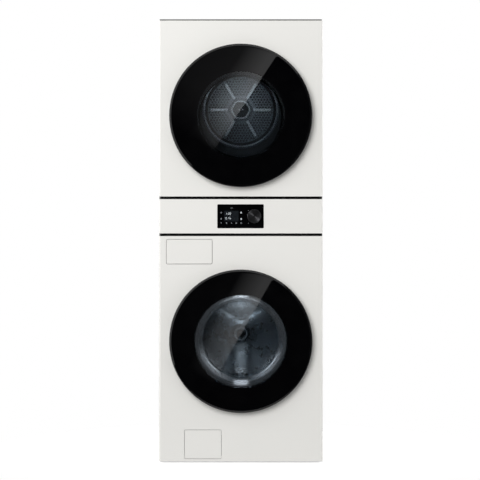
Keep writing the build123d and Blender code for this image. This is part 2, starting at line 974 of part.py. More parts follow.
# Tub front half with its mouth, joint flange and sump port
with BuildPart() as tub_front:
    post(pump_x, sump_depth, sump_high, washer_z, sump_radius)
    tub_middle = tub_radius + tub_wall / 2
    rod(0, washer_z, 0, tub_split_depth, tub_middle, mode=Mode.SUBTRACT)
    turned(
        0,
        washer_z,
        (neck_depth, tub_mouth_radius),
        (tub_front_depth + tub_wall, tub_mouth_radius),
        (tub_front_depth + tub_wall, tub_radius),
        (tub_split_depth, tub_radius),
        (tub_split_depth, tub_flange_radius),
        (tub_split_depth - tub_flange_thickness, tub_flange_radius),
        (tub_split_depth - tub_flange_thickness, tub_outer_radius),
        (tub_front_depth, tub_outer_radius),
        (tub_front_depth, tub_mouth_radius + tub_wall),
        (neck_depth, tub_mouth_radius + tub_wall),
    )
    post(pump_x, sump_depth, sump_high, washer_z, sump_bore, mode=Mode.SUBTRACT)
save(tub_front, "tub_front")

# Tub rear half with the bearing housing and the lugs for springs and dampers
with BuildPart() as tub_rear:
    tub_lugs(spring_x, spring_lug_top)
    tub_lugs(damper_x, damper_lug_low)
    rod(0, washer_z, tub_split_depth, tub_back_depth, tub_middle, mode=Mode.SUBTRACT)
    turned(
        0,
        washer_z,
        (tub_split_depth, tub_radius),
        (tub_back_depth, tub_radius),
        (tub_back_depth, bearing_radius),
        (housing_far, bearing_radius),
        (housing_far, housing_radius),
        (housing_near, housing_radius),
        (housing_near, tub_outer_radius),
        (tub_split_depth + tub_flange_thickness, tub_outer_radius),
        (tub_split_depth + tub_flange_thickness, tub_flange_radius),
        (tub_split_depth, tub_flange_radius),
    )
save(tub_rear, "tub_rear")

# Door gasket: a front bead in the panel lip, one fold and a rear bead in the tub neck
with BuildPart() as door_gasket:
    bead_near = sheet + seam
    bead_far = opening_lip - seam
    fold_a = bead_far + gasket_fold_start
    fold_b = fold_a + gasket_fold_rise
    fold_c = fold_b + gasket_fold_top
    fold_d = fold_c + gasket_fold_rise
    skin = gasket_radius + gasket_wall
    crest = skin + gasket_fold_height
    turned(
        0,
        washer_z,
        (bead_near, panel_opening_radius - seam),
        (bead_far, panel_opening_radius - seam),
        (bead_far, skin),
        (fold_a, skin),
        (fold_b, crest),
        (fold_c, crest),
        (fold_d, skin),
        (neck_depth, skin),
        (neck_depth, tub_mouth_radius - seam),
        (tub_front_depth, tub_mouth_radius - seam),
        (tub_front_depth, gasket_radius),
        (fold_d - gasket_wall, gasket_radius),
        (fold_c - gasket_wall, crest - gasket_wall),
        (fold_b + gasket_wall, crest - gasket_wall),
        (fold_a + gasket_wall, gasket_radius),
        (bead_near, gasket_radius),
    )
save(door_gasket, "door_gasket")

# Counterweights: two arcs bolted to the front of the tub
with BuildPart() as counterweights:
    tube(
        0,
        washer_z,
        tub_front_depth - weight_thickness,
        tub_front_depth,
        weight_inner_radius,
        weight_outer_radius,
    )
    block(
        (-weight_outer_radius, weight_outer_radius),
        (tub_front_depth - weight_thickness, tub_front_depth),
        (washer_z - weight_gap, washer_z + weight_gap),
        mode=Mode.SUBTRACT,
    )
save(counterweights, "counterweights")

# Tub suspension: two springs from the deck, drawn as closed-wound sleeves, and two dampers on the base
with BuildPart() as tub_suspension:
    for x in (-spring_x, spring_x):
        coil_low = spring_lug_top + spring_end
        coil_high = deck_z - spring_end
        post(x, lug_depth, coil_low, coil_high, spring_radius)
        post(
            x,
            lug_depth,
            coil_low + spring_wall,
            coil_high - spring_wall,
            spring_radius - spring_wall,
            mode=Mode.SUBTRACT,
        )
        post(x, lug_depth, spring_lug_top, coil_low, spring_rod_radius)
        post(x, lug_depth, coil_high, deck_z, spring_rod_radius)
    for x in (-damper_x, damper_x):
        post(x, lug_depth, base_top, damper_lug_low - damper_stroke, damper_radius)
        post(x, lug_depth, damper_lug_low - damper_stroke, damper_lug_low, damper_rod_radius)
save(tub_suspension, "tub_suspension")

with BuildPart() as drum_bearings:
    for near in (housing_near + bearing_margin, housing_far - bearing_margin - bearing_width):
        tube(
            0,
            washer_z,
            near,
            near + bearing_width,
            shaft_radius + running_fit,
            bearing_radius - bearing_fit,
        )
save(drum_bearings, "drum_bearings")

with BuildPart() as motor_stator:
    tube(0, washer_z, housing_far, stator_far, stator_bore, stator_radius)
    with BuildSketch(front_plane(stator_far)) as slots:
        with Locations((0, washer_z)):
            with PolarLocations(stator_radius - tooth_depth / 2, stator_teeth):
                Rectangle(tooth_depth, tooth_slot)
    extrude(slots.sketch, amount=stator_width, mode=Mode.SUBTRACT)
save(motor_stator, "motor_stator")

with BuildPart() as motor_rotor:
    rim_inner = stator_radius + rotor_gap
    turned(
        0,
        washer_z,
        (housing_far, rim_inner),
        (rotor_plate_depth, rim_inner),
        (rotor_plate_depth, shaft_radius + bearing_fit),
        (shaft_far, shaft_radius + bearing_fit),
        (shaft_far, rotor_hub_radius),
        (rotor_plate_depth + rotor_plate, rotor_hub_radius),
        (rotor_plate_depth + rotor_plate, rim_inner + rotor_rim),
        (housing_far, rim_inner + rotor_rim),
    )
save(motor_rotor, "motor_rotor")

# Washer drum: a sheet shell with a rolled front lip and three raised spokes pressed in its back
with BuildPart() as washer_drum:
    turned(
        0,
        washer_z,
        (drum_front_depth, drum_lip_radius),
        (drum_front_depth, drum_radius),
        (drum_back_depth, drum_radius),
        (drum_back_depth, 0),
        (drum_back_depth - drum_wall, 0),
        (drum_back_depth - drum_wall, drum_inner_radius),
        (drum_front_depth + drum_wall, drum_inner_radius),
        (drum_front_depth + drum_wall, drum_lip_radius),
    )
    spoke_reach = drum_inner_radius - spoke_margin
    spoke_back = drum_back_depth - drum_wall
    three_arms(washer_z, spoke_hub_radius, spoke_reach, spoke_width, spoke_back - spoke_height, spoke_back)
save(washer_drum, "washer_drum")

with BuildPart() as drum_lifters:
    lifter_row(
        washer_z,
        drum_inner_radius - contact_gap,
        lifter_width,
        lifter_crest,
        lifter_height,
        drum_front_depth + lifter_margin,
        drum_back_depth - lifter_margin,
    )
save(drum_lifters, "drum_lifters")

with BuildPart() as drum_spider:
    arm_far = drum_back_depth + spider_arm_thickness
    three_arms(washer_z, spider_hub_radius, spoke_reach, spider_arm_width, drum_back_depth, arm_far)
    hub_far = drum_back_depth + spider_hub_length
    rod(0, washer_z, drum_back_depth, hub_far, spider_hub_radius)
    rod(0, washer_z, hub_far, shaft_far, shaft_radius)
save(drum_spider, "drum_spider")

# Drain pump: a filter chamber open to the front, the pump motor behind it and the outlet stub
with BuildPart() as drain_pump:
    rod(pump_x, pump_z, pump_front_depth, pump_motor_depth, filter_radius + fit_gap + pump_wall)
    block(
        (pump_x - pump_foot_half_width, pump_x + pump_foot_half_width),
        (pump_front_depth, pump_motor_depth),
        (base_top, pump_z),
    )
    rod(pump_x, pump_z, pump_motor_depth, pump_motor_depth + pump_motor_length, pump_motor_radius)
    post(pump_x, sump_depth, pump_z, sump_low, sump_radius)
    crossbar(outlet_depth, pump_z, pump_x, hose_start, outlet_radius)
    chamber = filter_radius + fit_gap
    rod(pump_x, pump_z, pump_front_depth, filter_chamber_depth, chamber, mode=Mode.SUBTRACT)
    post(pump_x, sump_depth, pump_z, sump_low, sump_bore, mode=Mode.SUBTRACT)
    crossbar(outlet_depth, pump_z, pump_x, hose_start, hose_bore, mode=Mode.SUBTRACT)
save(drain_pump, "drain_pump")

# Twist-out lint trap of the pump: a plug with a finger bar and a basket
with BuildPart() as pump_filter:
    plug_far = pump_front_depth + filter_plug_length
    basket_far = plug_far + filter_basket_length
    rod(pump_x, pump_z, pump_front_depth, plug_far, filter_radius)
    block(
        (pump_x - filter_handle_thickness / 2, pump_x + filter_handle_thickness / 2),
        (pump_front_depth - filter_handle_reach, pump_front_depth),
        (pump_z - filter_handle_height / 2, pump_z + filter_handle_height / 2),
    )
    tube(
        pump_x,
        pump_z,
        plug_far,
        basket_far,
        filter_basket_radius - filter_basket_wall,
        filter_basket_radius,
    )
save(pump_filter, "pump_filter")

# Detergent drawer housing, open to the front, with two runners under the tray
with BuildPart() as drawer_housing:
    inside_x = (drawer_left - reveal, drawer_right + reveal)
    inside_z = (drawer_low - reveal, drawer_high + reveal)
    block(
        (inside_x[0] - drawer_wall, inside_x[1] + drawer_wall),
        (sheet, housing_back),
        (inside_z[0] - drawer_wall, inside_z[1] + drawer_wall),
    )
    block(inside_x, (sheet, housing_back - drawer_wall), inside_z, mode=Mode.SUBTRACT)
    for edge, side in ((drawer_left, 1), (drawer_right, -1)):
        runner = edge + side * drawer_runner_inset
        block(
            (runner, runner + side * drawer_runner_width),
            (drawer_front_thickness + reveal, housing_back - drawer_wall),
            (inside_z[0], tray_low - contact_gap),
        )
save(drawer_housing, "drawer_housing")

# Drawer tray with three compartments, open at the top
with BuildPart() as detergent_tray:
    tray_left = drawer_left + drawer_tray_inset
    tray_right = drawer_right - drawer_tray_inset
    tray_high = tray_low + drawer_tray_height
    pocket_near = drawer_front_thickness + drawer_wall
    pocket_far = tray_far - drawer_wall
    block((tray_left, tray_right), (drawer_front_thickness, tray_far), (tray_low, tray_high))
    pocket_sides = (
        (tray_left + drawer_wall, tray_left + drawer_wall + prewash_width),
        (tray_left + 2 * drawer_wall + prewash_width, tray_right - 2 * drawer_wall - softener_width),
        (tray_right - drawer_wall - softener_width, tray_right - drawer_wall),
    )
    for pocket in pocket_sides:
        block(pocket, (pocket_near, pocket_far), (tray_low + drawer_wall, tray_high), mode=Mode.SUBTRACT)
save(detergent_tray, "detergent_tray")

with BuildPart() as drawer_front:
    rounded_plate(
        (drawer_left, drawer_right),
        (drawer_low, drawer_high),
        0,
        drawer_front_thickness,
        drawer_front_radius,
    )
    chamfer(drawer_front.faces().sort_by(Axis.Y)[0].edges(), drawer_edge)
save(drawer_front, "drawer_front")

# Pump hatch with two side pins near its lower edge
with BuildPart() as pump_hatch:
    rounded_plate((hatch_left, hatch_right), (hatch_low, hatch_high), 0, hatch_thickness, hatch_radius)
    for edge, side in ((hatch_left, -1), (hatch_right, 1)):
        lug_sides = sorted((edge, edge - side * hatch_lug))
        pin_sides = sorted((edge, edge + side * (reveal / 2 + hatch_ear)))
        crossbar(hatch_axis_depth, hatch_axis_z, *lug_sides, hatch_lug_radius)
        crossbar(hatch_axis_depth, hatch_axis_z, *pin_sides, hatch_pin_radius)
save(pump_hatch, "pump_hatch")

# Inlet valves on the rear panel, with threaded spigots outside and nozzles inside
with BuildPart() as inlet_valves:
    for x in valve_places:
        block(
            (x - valve_width / 2, x + valve_width / 2),
            (valve_near, back_depth),
            (valve_z - valve_height / 2, valve_z + valve_height / 2),
        )
        rod(x, valve_z, back_depth, body_depth, valve_spigot_radius - spigot_step)
        rod(x, valve_z, body_depth, stub_depth, valve_spigot_radius)
        rod(x, valve_z, valve_near - valve_nozzle, valve_near, fill_hose_radius)
        rod(x, valve_z, valve_near - valve_nozzle, stub_depth, fill_hose_bore, mode=Mode.SUBTRACT)
save(inlet_valves, "inlet_valves")

# Water hoses: the sump hose, the two fill hoses and the drain hose that ends in a spigot at the back
with BuildPart() as water_hoses:
    post(pump_x, sump_depth, sump_low, sump_high, sump_radius)
    post(pump_x, sump_depth, sump_low, sump_high, sump_bore, mode=Mode.SUBTRACT)
    for x in valve_places:
        tube(x, valve_z, housing_back, valve_near - valve_nozzle, fill_hose_bore, fill_hose_radius)
    with BuildLine() as hose_route:
        FilletPolyline(
            (hose_start, face_y + outlet_depth, pump_z),
            (hose_x, face_y + outlet_depth, pump_z),
            (hose_x, face_y + stub_depth, pump_z),
            radius=hose_bend,
        )
    with BuildSketch(Plane(origin=hose_route.line @ 0, z_dir=hose_route.line % 0)):
        Circle(hose_radius)
        Circle(hose_bore, mode=Mode.SUBTRACT)
    sweep()
    tube(hose_x, pump_z, body_depth, stub_depth, hose_bore, hose_radius + spigot_step)
save(water_hoses, "water_hoses")

# Dryer planes
dryer_drum_far = body_depth - dryer_rear_room
rear_bulkhead_depth = dryer_drum_far + rear_bulkhead_gap
rear_bulkhead_far = rear_bulkhead_depth + bulkhead_sheet
dryer_inner_radius = dryer_drum_radius - dryer_drum_wall
bulkhead_half = inner_half - bulkhead_inset
bulkhead_top = dryer_top - bulkhead_top_gap
motor_z = deck_top + motor_rise
pipe_radius = exhaust_radius - exhaust_step
pipe_bore = pipe_radius - exhaust_wall
chute_far = chute_near + chute_length
chute_low = deck_top + chute_floor_rise
chute_top = dryer_door_z - chute_top_drop
scroll_near = chute_far + chute_wall
scroll_far = scroll_near + scroll_length
motor_near = scroll_far + motor_gap
motor_far = motor_near + motor_length
pulley_near = motor_far + pulley_gap
pulley_width = belt_width + 2 * contact_gap
belt_near = pulley_near + pulley_flange + contact_gap
roller_distance = dryer_drum_radius + contact_gap + roller_radius
roller_x = roller_distance * math.sin(math.radians(roller_angle))
roller_z = dryer_z - roller_distance * math.cos(math.radians(roller_angle))
roller_far = dryer_drum_far - roller_inset
roller_near = roller_far - roller_width
spigot_inner_radius = spigot_radius - spigot_wall

# Front bulkhead: a plate with the drum spigot, the loading tunnel and the lint chute below it
with BuildPart() as dryer_front_bulkhead:
    plate_far = bulkhead_depth + bulkhead_sheet
    block((-bulkhead_half, bulkhead_half), (bulkhead_depth, plate_far), (deck_top, bulkhead_top))
    rod(0, dryer_z, bulkhead_depth, plate_far, spigot_inner_radius, mode=Mode.SUBTRACT)
    spigot_far = bulkhead_depth + spigot_length
    inner_plate_far = inner_plate_depth + bulkhead_sheet
    tube(0, dryer_z, bulkhead_depth, spigot_far, spigot_inner_radius, spigot_radius)
    rod(0, dryer_z, inner_plate_depth, inner_plate_far, spigot_radius)
    rod(0, dryer_door_z, tunnel_front_depth, inner_plate_far, tunnel_radius + tunnel_wall)
    block(
        (-chute_half_width - chute_wall, chute_half_width + chute_wall),
        (chute_near - chute_wall, scroll_near),
        (chute_low, chute_top),
    )
    rod(0, dryer_door_z, tunnel_front_depth, inner_plate_far, tunnel_radius, mode=Mode.SUBTRACT)
    block(
        (-chute_half_width, chute_half_width),
        (chute_near, chute_far),
        (chute_low + chute_wall, dryer_door_z),
        mode=Mode.SUBTRACT,
    )
    rod(motor_x, motor_z, chute_far, scroll_near, fan_inlet_radius, mode=Mode.SUBTRACT)
save(dryer_front_bulkhead, "dryer_front_bulkhead")

# Lint filter: a frame with a screen and a finger bar, sliding in the chute
with BuildPart() as lint_filter:
    filter_half = chute_half_width - fit_gap
    filter_depths = (chute_near + fit_gap, chute_far - fit_gap)
    filter_middle = (chute_near + chute_far) / 2
    filter_low = chute_low + chute_wall + lint_floor_gap
    filter_high = chute_top + lint_grip
    window_levels = (filter_low + lint_frame, chute_top - lint_grip)
    block((-filter_half, filter_half), filter_depths, (filter_low, filter_high))
    window_sides = (lint_frame - filter_half, filter_half - lint_frame)
    block(window_sides, filter_depths, window_levels, mode=Mode.SUBTRACT)
    block(window_sides, (filter_middle - sheet / 2, filter_middle + sheet / 2), window_levels)
    block(
        window_sides,
        (filter_middle, filter_depths[1]),
        (chute_top, filter_high),
        mode=Mode.SUBTRACT,
    )
save(lint_filter, "lint_filter")

# Rear bulkhead with the air inlet, the rear drum spigot and the pins of the two rollers
with BuildPart() as dryer_rear_bulkhead:
    spigot_near = rear_bulkhead_depth - rear_spigot_length
    plate_depths = (rear_bulkhead_depth, rear_bulkhead_far)
    block((-bulkhead_half, bulkhead_half), plate_depths, (deck_top, bulkhead_top))
    rod(0, dryer_z, rear_bulkhead_depth, rear_bulkhead_far, air_hole_radius, mode=Mode.SUBTRACT)
    rod(
        exhaust_x,
        exhaust_z,
        rear_bulkhead_depth,
        rear_bulkhead_far,
        exhaust_radius + panel_hole_clearance,
        mode=Mode.SUBTRACT,
    )
    tube(0, dryer_z, spigot_near, rear_bulkhead_depth, spigot_inner_radius, spigot_radius)
    for side in (-1, 1):
        rod(side * roller_x, roller_z, roller_near - seam, rear_bulkhead_depth, roller_pin_radius)
save(dryer_rear_bulkhead, "dryer_rear_bulkhead")


def drum_roller(side):
    """A rubber-tyred roller under the drum, running on its pin."""
    tube(
        side * roller_x,
        roller_z,
        roller_near,
        roller_far,
        roller_pin_radius + running_fit,
        roller_radius,
    )


with BuildPart() as drum_roller_left:
    drum_roller(-1)
save(drum_roller_left, "drum_roller_left")

with BuildPart() as drum_roller_right:
    drum_roller(1)
save(drum_roller_right, "drum_roller_right")

# Felt rings between the drum and the two spigots
with BuildPart() as drum_seals:
    for near in (dryer_drum_front_depth, roller_near):
        tube(
            0,
            dryer_z,
            near,
            near + felt_length,
            spigot_radius + running_fit,
            dryer_inner_radius - felt_gap,
        )
save(drum_seals, "drum_seals")

with BuildPart() as dryer_drum:
    tube(0, dryer_z, dryer_drum_front_depth, dryer_drum_far, dryer_inner_radius, dryer_drum_radius)
save(dryer_drum, "dryer_drum")

with BuildPart() as dryer_lifters:
    lifter_row(
        dryer_z,
        dryer_inner_radius - contact_gap,
        dryer_lifter_width,
        dryer_lifter_crest,
        dryer_lifter_height,
        dryer_drum_front_depth + dryer_lifter_margin,
        dryer_drum_far - dryer_lifter_margin,
    )
save(dryer_lifters, "dryer_lifters")

# Perforated air screen in the back of the dryer: holes in six sectors between ribs, a hub and a rim
screen_depth = rear_bulkhead_depth - screen_standoff
screen_groove_outer = screen_radius - screen_rim_width
screen_flat_radius = screen_groove_outer - screen_groove_width
rib_clear = screen_rib_width / 2 + screen_hole_margin
half_sector = math.pi / screen_sectors
hole_rows = range(int(screen_field_radius / screen_hole_pitch) + 1)
sector_holes = [
    (row * screen_hole_pitch, column * screen_hole_pitch + screen_hole_pitch / 2)
    for row in hole_rows
    for column in range(-len(hole_rows), len(hole_rows))
]
sector_holes = [
    (u, v)
    for u, v in sector_holes
    if screen_hub_radius + screen_hole_pitch / 2 < math.hypot(u, v) < screen_field_radius
    and u * math.sin(half_sector) - abs(v) * math.cos(half_sector) > rib_clear
]
with BuildPart() as air_screen:
    groove_back = screen_depth + screen_groove_depth
    turned(
        0,
        dryer_z,
        (screen_depth, 0),
        (screen_depth, screen_flat_radius),
        (groove_back, screen_flat_radius),
        (groove_back, screen_groove_outer),
        (screen_depth - screen_rim_height, screen_groove_outer),
        (screen_depth - screen_rim_height, screen_radius),
        (rear_bulkhead_depth, screen_radius),
        (rear_bulkhead_depth, screen_radius - screen_thickness),
        (groove_back + screen_thickness, screen_radius - screen_thickness),
        (groove_back + screen_thickness, screen_flat_radius - screen_thickness),
        (screen_depth + screen_thickness, screen_flat_radius - screen_thickness),
        (screen_depth + screen_thickness, 0),
    )
    with BuildSketch(front_plane(screen_depth)) as ribs:
        with Locations((0, dryer_z)):
            with PolarLocations(screen_rib_reach / 2, screen_sectors):
                Rectangle(screen_rib_reach, screen_rib_width)
    extrude(ribs.sketch, amount=screen_rib_height)
    steps = ((screen_hub_radius, screen_hub_height), (screen_boss_radius, screen_boss_height))
    for size, height in steps:
        with BuildSketch(front_plane(screen_depth)) as hub:
            with Locations((0, dryer_z)):
                RegularPolygon(size, hex_sides)
            fillet(hub.vertices(), size * screen_hub_rounding)
        extrude(hub.sketch, amount=height)
    with BuildSketch(front_plane(screen_depth + screen_thickness)) as holes:
        with Locations((0, dryer_z)):
            with PolarLocations(0, screen_sectors, start_angle=math.degrees(half_sector)):
                with Locations(*sector_holes):
                    Circle(screen_hole_radius)
    extrude(holes.sketch, amount=screen_thickness, mode=Mode.SUBTRACT)
save(air_screen, "air_screen")

# Air ducts: the heater box behind the rear bulkhead and the exhaust pipe to the back
with BuildPart() as air_ducts:
    heater_far = rear_bulkhead_far + heater_depth
    rod(0, dryer_z, rear_bulkhead_far, heater_far, heater_radius)
    inside = heater_radius - heater_wall
    rod(0, dryer_z, rear_bulkhead_far, heater_far - heater_wall, inside, mode=Mode.SUBTRACT)
    turned(
        exhaust_x,
        exhaust_z,
        (scroll_far, pipe_bore),
        (stub_depth, pipe_bore),
        (stub_depth, exhaust_radius),
        (body_depth, exhaust_radius),
        (body_depth, pipe_radius),
        (scroll_far, pipe_radius),
    )
save(air_ducts, "air_ducts")

# Blower housing: a round scroll with an outlet box to the exhaust pipe
with BuildPart() as blower_housing:
    box_right = exhaust_x + exhaust_box_half_width
    box_levels = (exhaust_z - exhaust_box_half_width, exhaust_z + exhaust_box_half_width)
    rod(motor_x, motor_z, scroll_near, scroll_far, scroll_radius)
    block((motor_x, box_right), (scroll_near, scroll_far), box_levels)
    hollow = (scroll_near + scroll_wall, scroll_far - scroll_wall)
    rod(motor_x, motor_z, *hollow, scroll_radius - scroll_wall, mode=Mode.SUBTRACT)
    block(
        (motor_x, box_right - scroll_wall),
        hollow,
        (box_levels[0] + scroll_wall, box_levels[1] - scroll_wall),
        mode=Mode.SUBTRACT,
    )
    rod(motor_x, motor_z, scroll_near, hollow[0], fan_inlet_radius, mode=Mode.SUBTRACT)
    rod(motor_x, motor_z, hollow[1], scroll_far, fan_hub_radius, mode=Mode.SUBTRACT)
    rod(exhaust_x, exhaust_z, hollow[1], scroll_far, pipe_bore, mode=Mode.SUBTRACT)
save(blower_housing, "blower_housing")

with BuildPart() as dryer_motor:
    foot_near = (motor_near + motor_far - motor_foot_length) / 2
    rod(motor_x, motor_z, motor_near, motor_far, motor_radius)
    block(
        (motor_x - motor_foot_half_width, motor_x + motor_foot_half_width),
        (foot_near, foot_near + motor_foot_length),
        (deck_top, motor_z),
    )
    motor_bore = motor_shaft_radius + running_fit
    rod(motor_x, motor_z, motor_near, motor_far, motor_bore, mode=Mode.SUBTRACT)
save(dryer_motor, "dryer_motor")

# Motor shaft with its belt pulley, and the fan wheel pressed on its front end
with BuildPart() as fan_and_pulley:
    fan_near = scroll_near + scroll_wall + motor_gap
    fan_far = scroll_far - scroll_wall - motor_gap
    groove_near = pulley_near + pulley_flange
    groove_far = groove_near + pulley_width
    flange_radius = pulley_radius + pulley_flange_rise
    rod(motor_x, motor_z, fan_near, fan_far, fan_hub_radius)
    rod(motor_x, motor_z, fan_far - fan_backplate, fan_far, fan_radius)
    with BuildSketch(front_plane(fan_far)) as blades:
        with Locations((motor_x, motor_z)):
            with PolarLocations(fan_radius / 2, fan_blades):
                Rectangle(fan_radius, fan_blade_thickness)
            Circle(fan_radius, mode=Mode.INTERSECT)
    extrude(blades.sketch, amount=fan_far - fan_near)
    shaft_bore = motor_shaft_radius + bearing_fit
    rod(motor_x, motor_z, fan_near, fan_far, shaft_bore, mode=Mode.SUBTRACT)
    turned(
        motor_x,
        motor_z,
        (fan_near, 0),
        (fan_near, motor_shaft_radius),
        (pulley_near, motor_shaft_radius),
        (pulley_near, flange_radius),
        (groove_near, flange_radius),
        (groove_near, pulley_radius),
        (groove_far, pulley_radius),
        (groove_far, flange_radius),
        (groove_far + pulley_flange, flange_radius),
        (groove_far + pulley_flange, 0),
    )
save(fan_and_pulley, "fan_and_pulley")


def belt_loop(drum, pulley):
    """The outline of a belt run round the drum and the motor pulley."""
    with BuildSketch(front_plane(belt_near + belt_width)) as loop:
        with Locations((0, dryer_z)):
            Circle(drum)
        with Locations((motor_x, motor_z)):
            Circle(pulley)
        make_hull()
    return loop.sketch


with BuildPart() as drum_belt:
    drum_run = dryer_drum_radius + contact_gap
    pulley_run = pulley_radius + contact_gap
    extrude(belt_loop(drum_run + belt_thickness, pulley_run + belt_thickness), amount=belt_width)
    extrude(belt_loop(drum_run, pulley_run), amount=belt_width, mode=Mode.SUBTRACT)
save(drum_belt, "drum_belt")
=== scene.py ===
import json
import math

import bmesh
import bpy
import numpy as np
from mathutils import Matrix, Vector
from mathutils.geometry import delaunay_2d_cdt


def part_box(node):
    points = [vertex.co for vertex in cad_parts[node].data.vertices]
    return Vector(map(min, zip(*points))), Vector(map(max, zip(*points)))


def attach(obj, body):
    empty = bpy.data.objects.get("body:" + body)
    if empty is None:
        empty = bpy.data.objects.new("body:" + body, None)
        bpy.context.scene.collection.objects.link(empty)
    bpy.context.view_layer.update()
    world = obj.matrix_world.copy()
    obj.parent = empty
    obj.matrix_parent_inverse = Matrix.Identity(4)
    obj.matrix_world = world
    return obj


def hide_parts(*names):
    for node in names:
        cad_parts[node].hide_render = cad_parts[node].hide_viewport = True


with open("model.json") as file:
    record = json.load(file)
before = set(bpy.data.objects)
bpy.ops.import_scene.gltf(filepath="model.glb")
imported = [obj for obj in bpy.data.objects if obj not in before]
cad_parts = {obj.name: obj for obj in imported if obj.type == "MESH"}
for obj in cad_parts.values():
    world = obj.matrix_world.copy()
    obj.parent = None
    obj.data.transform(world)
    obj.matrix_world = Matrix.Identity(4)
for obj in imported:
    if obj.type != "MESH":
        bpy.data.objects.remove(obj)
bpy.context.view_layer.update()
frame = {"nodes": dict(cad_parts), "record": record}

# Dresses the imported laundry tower: door glass, drums, air screen, controls, rear fittings and finishes.
# All sizes are in metres in the frame of the solids: x to the right, y to the back, z up.

bl_info = {
    "name": "Laundry Tower Dressing",
    "version": (1, 0, 0),
    "blender": (4, 5, 0),
    "location": "3D View > Sidebar > Laundry Tower",
    "description": "Glass, drums, controls and finishes for the stacked washer and dryer",
    "category": "Object",
}

MM = 0.001
TAU = 2 * math.pi

# Points of a piece that lie closer than this are merged
WELD = 0.002 * MM


def srgb(code):
    """Linear colour of an sRGB hex code, by the sRGB curve."""
    parts = np.array([int(code[i : i + 2], 16) for i in (0, 2, 4)]) / 255
    return tuple(np.where(parts <= 0.04045, parts / 12.92, ((parts + 0.055) / 1.055) ** 2.4).tolist())


def corners(node):
    """Lowest and highest corner of a solid, as two arrays."""
    low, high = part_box(node)
    return np.array(low), np.array(high)


def axis_of(node):
    """Middle of a solid's box: the axis of a round piece."""
    low, high = corners(node)
    return (low + high) / 2


# Sizes and colours that a user may change

def length(name, text, value):
    """A size in metres with its label and its help text."""
    return bpy.props.FloatProperty(
        name=name, description=text, default=value, min=0.0, unit="LENGTH", precision=4
    )


def ratio(name, text, value):
    """A plain number with its label and its help text."""
    return bpy.props.FloatProperty(name=name, description=text, default=value)


def colour(name, text, code):
    """A colour given by its sRGB code."""
    return bpy.props.FloatVectorProperty(
        name=name, description=text, default=srgb(code), subtype="COLOR", size=3, min=0.0, max=1.0
    )


class TowerSizes(bpy.types.PropertyGroup):
    """Sizes of the dressing pieces."""

    dryer_clear: length("Dryer clear radius", "Radius of the unprinted part of the dryer glass", 182 * MM)
    washer_clear: length("Washer clear radius", "Radius of the unprinted part of the washer glass", 195 * MM)
    glass_bevel: length("Glass bevel", "Width of the ground bevel round the door glass", 5 * MM)
    glass_fall: length("Glass bevel fall", "Depth of that bevel", 1.5 * MM)
    glass_band: length("Glass edge band", "Width of the black band round the edge of the glass", 3.5 * MM)
    bowl_wall: length("Bowl wall", "Thickness of the pressed glass bowls", 4 * MM)
    bowl_mouth: length("Bowl mouth radius", "Radius of the bowls where they meet their flange", 195 * MM)
    washer_taper: ratio("Washer bowl taper", "Radius lost per depth", 0.19)
    dryer_taper: ratio("Dryer window taper", "Radius lost per depth", 0.31)
    # The real holes are too fine to show in the render, so they are drawn coarser
    screen_pitch: length("Screen hole pitch", "Distance between the holes of the air screen", 13.5 * MM)
    screen_hole: length("Screen hole radius", "Radius of the holes of the air screen", 4.7 * MM)
    drum_hole: length("Drum hole radius", "Radius of the holes in the wall of the washer drum", 2 * MM)
    spoke_width: length("Spoke width", "Width of the raised spokes on the drum back", 66 * MM)
    spoke_height: length("Spoke height", "Height of the raised spokes on the drum back", 7 * MM)
    lcd_width: length("Readout width", "Width of the lit readout", 59.8 * MM)
    lcd_height: length("Readout height", "Height of the lit readout", 43.5 * MM)


class TowerColours(bpy.types.PropertyGroup):
    """Colours of the finishes."""

    coat: colour("Powder coat", "Warm white of the steel panels", "E6E5E1")
    moulding: colour("Moulding", "Warm white of the control fascia", "E6E5E1")
    trim: colour("Trim", "Black of the strips", "0B0B0B")
    cover: colour("Top cover", "Grey of the top cover", "454643")
    tint: colour("Window tint", "What each face of the tinted window lets through", "BFC4C9")
    drum: colour("Drum", "Stainless steel of the drums", "A9ADB0")
    # The air screen's sheet, and a paler copy of its steel that is painted highlight on the raised parts of
    # the screen and on the ring round the washer hub
    screen: colour("Air screen", "Dull steel of the punched sheet", "7C7F82")
    bright: colour("Bright steel", "Polished ribs and rings of the air screen", "D6D9DB")
    dial: colour("Dial", "Dark metal of the dial", "3E3E40")
    readout: colour("Readout", "Lit figures of the readout", "E8F0F4")


# Shapes worked out as whole arrays

def soften(points, cut, steps=4):
    """Rounds the inner corners of a profile. Each corner c gives way to a parabola from a to b, which lie
    one cut length before and after it, or a share of the edge if that is less:
    p(t) = (1 - t)^2 a + 2 t (1 - t) c + t^2 b."""
    most = 0.45
    points = np.asarray(points, float)
    before, corner, after = points[:-2], points[1:-1], points[2:]
    back, ahead = before - corner, after - corner
    reach = [np.linalg.norm(v, axis=1, keepdims=True) for v in (back, ahead)]
    a = corner + back * np.minimum(most, cut / reach[0])
    b = corner + ahead * np.minimum(most, cut / reach[1])
    t = np.linspace(0, 1, steps)[None, :, None]
    bends = (1 - t) ** 2 * a[:, None] + 2 * t * (1 - t) * corner[:, None] + t**2 * b[:, None]
    return np.concatenate([points[:1], bends.reshape(-1, points.shape[1]), points[-1:]])


def ring(outline):
    """An outline led in by its last corner and out by its first, so that soften rounds every corner."""
    outline = np.asarray(outline, float)
    return np.concatenate([outline[-1:], outline, outline[:1]])


def quads(rows, columns, wrap_rows=False, wrap_columns=False):
    """Corner numbers of the squares of a grid, closed on itself either way where asked."""
    r, c = np.meshgrid(
        np.arange(rows if wrap_rows else rows - 1),
        np.arange(columns if wrap_columns else columns - 1),
        indexing="ij",
    )
    r, c = r.ravel(), c.ravel()
    r1, c1 = (r + 1) % rows, (c + 1) % columns
    return np.stack([r * columns + c, r * columns + c1, r1 * columns + c1, r1 * columns + c], axis=1)


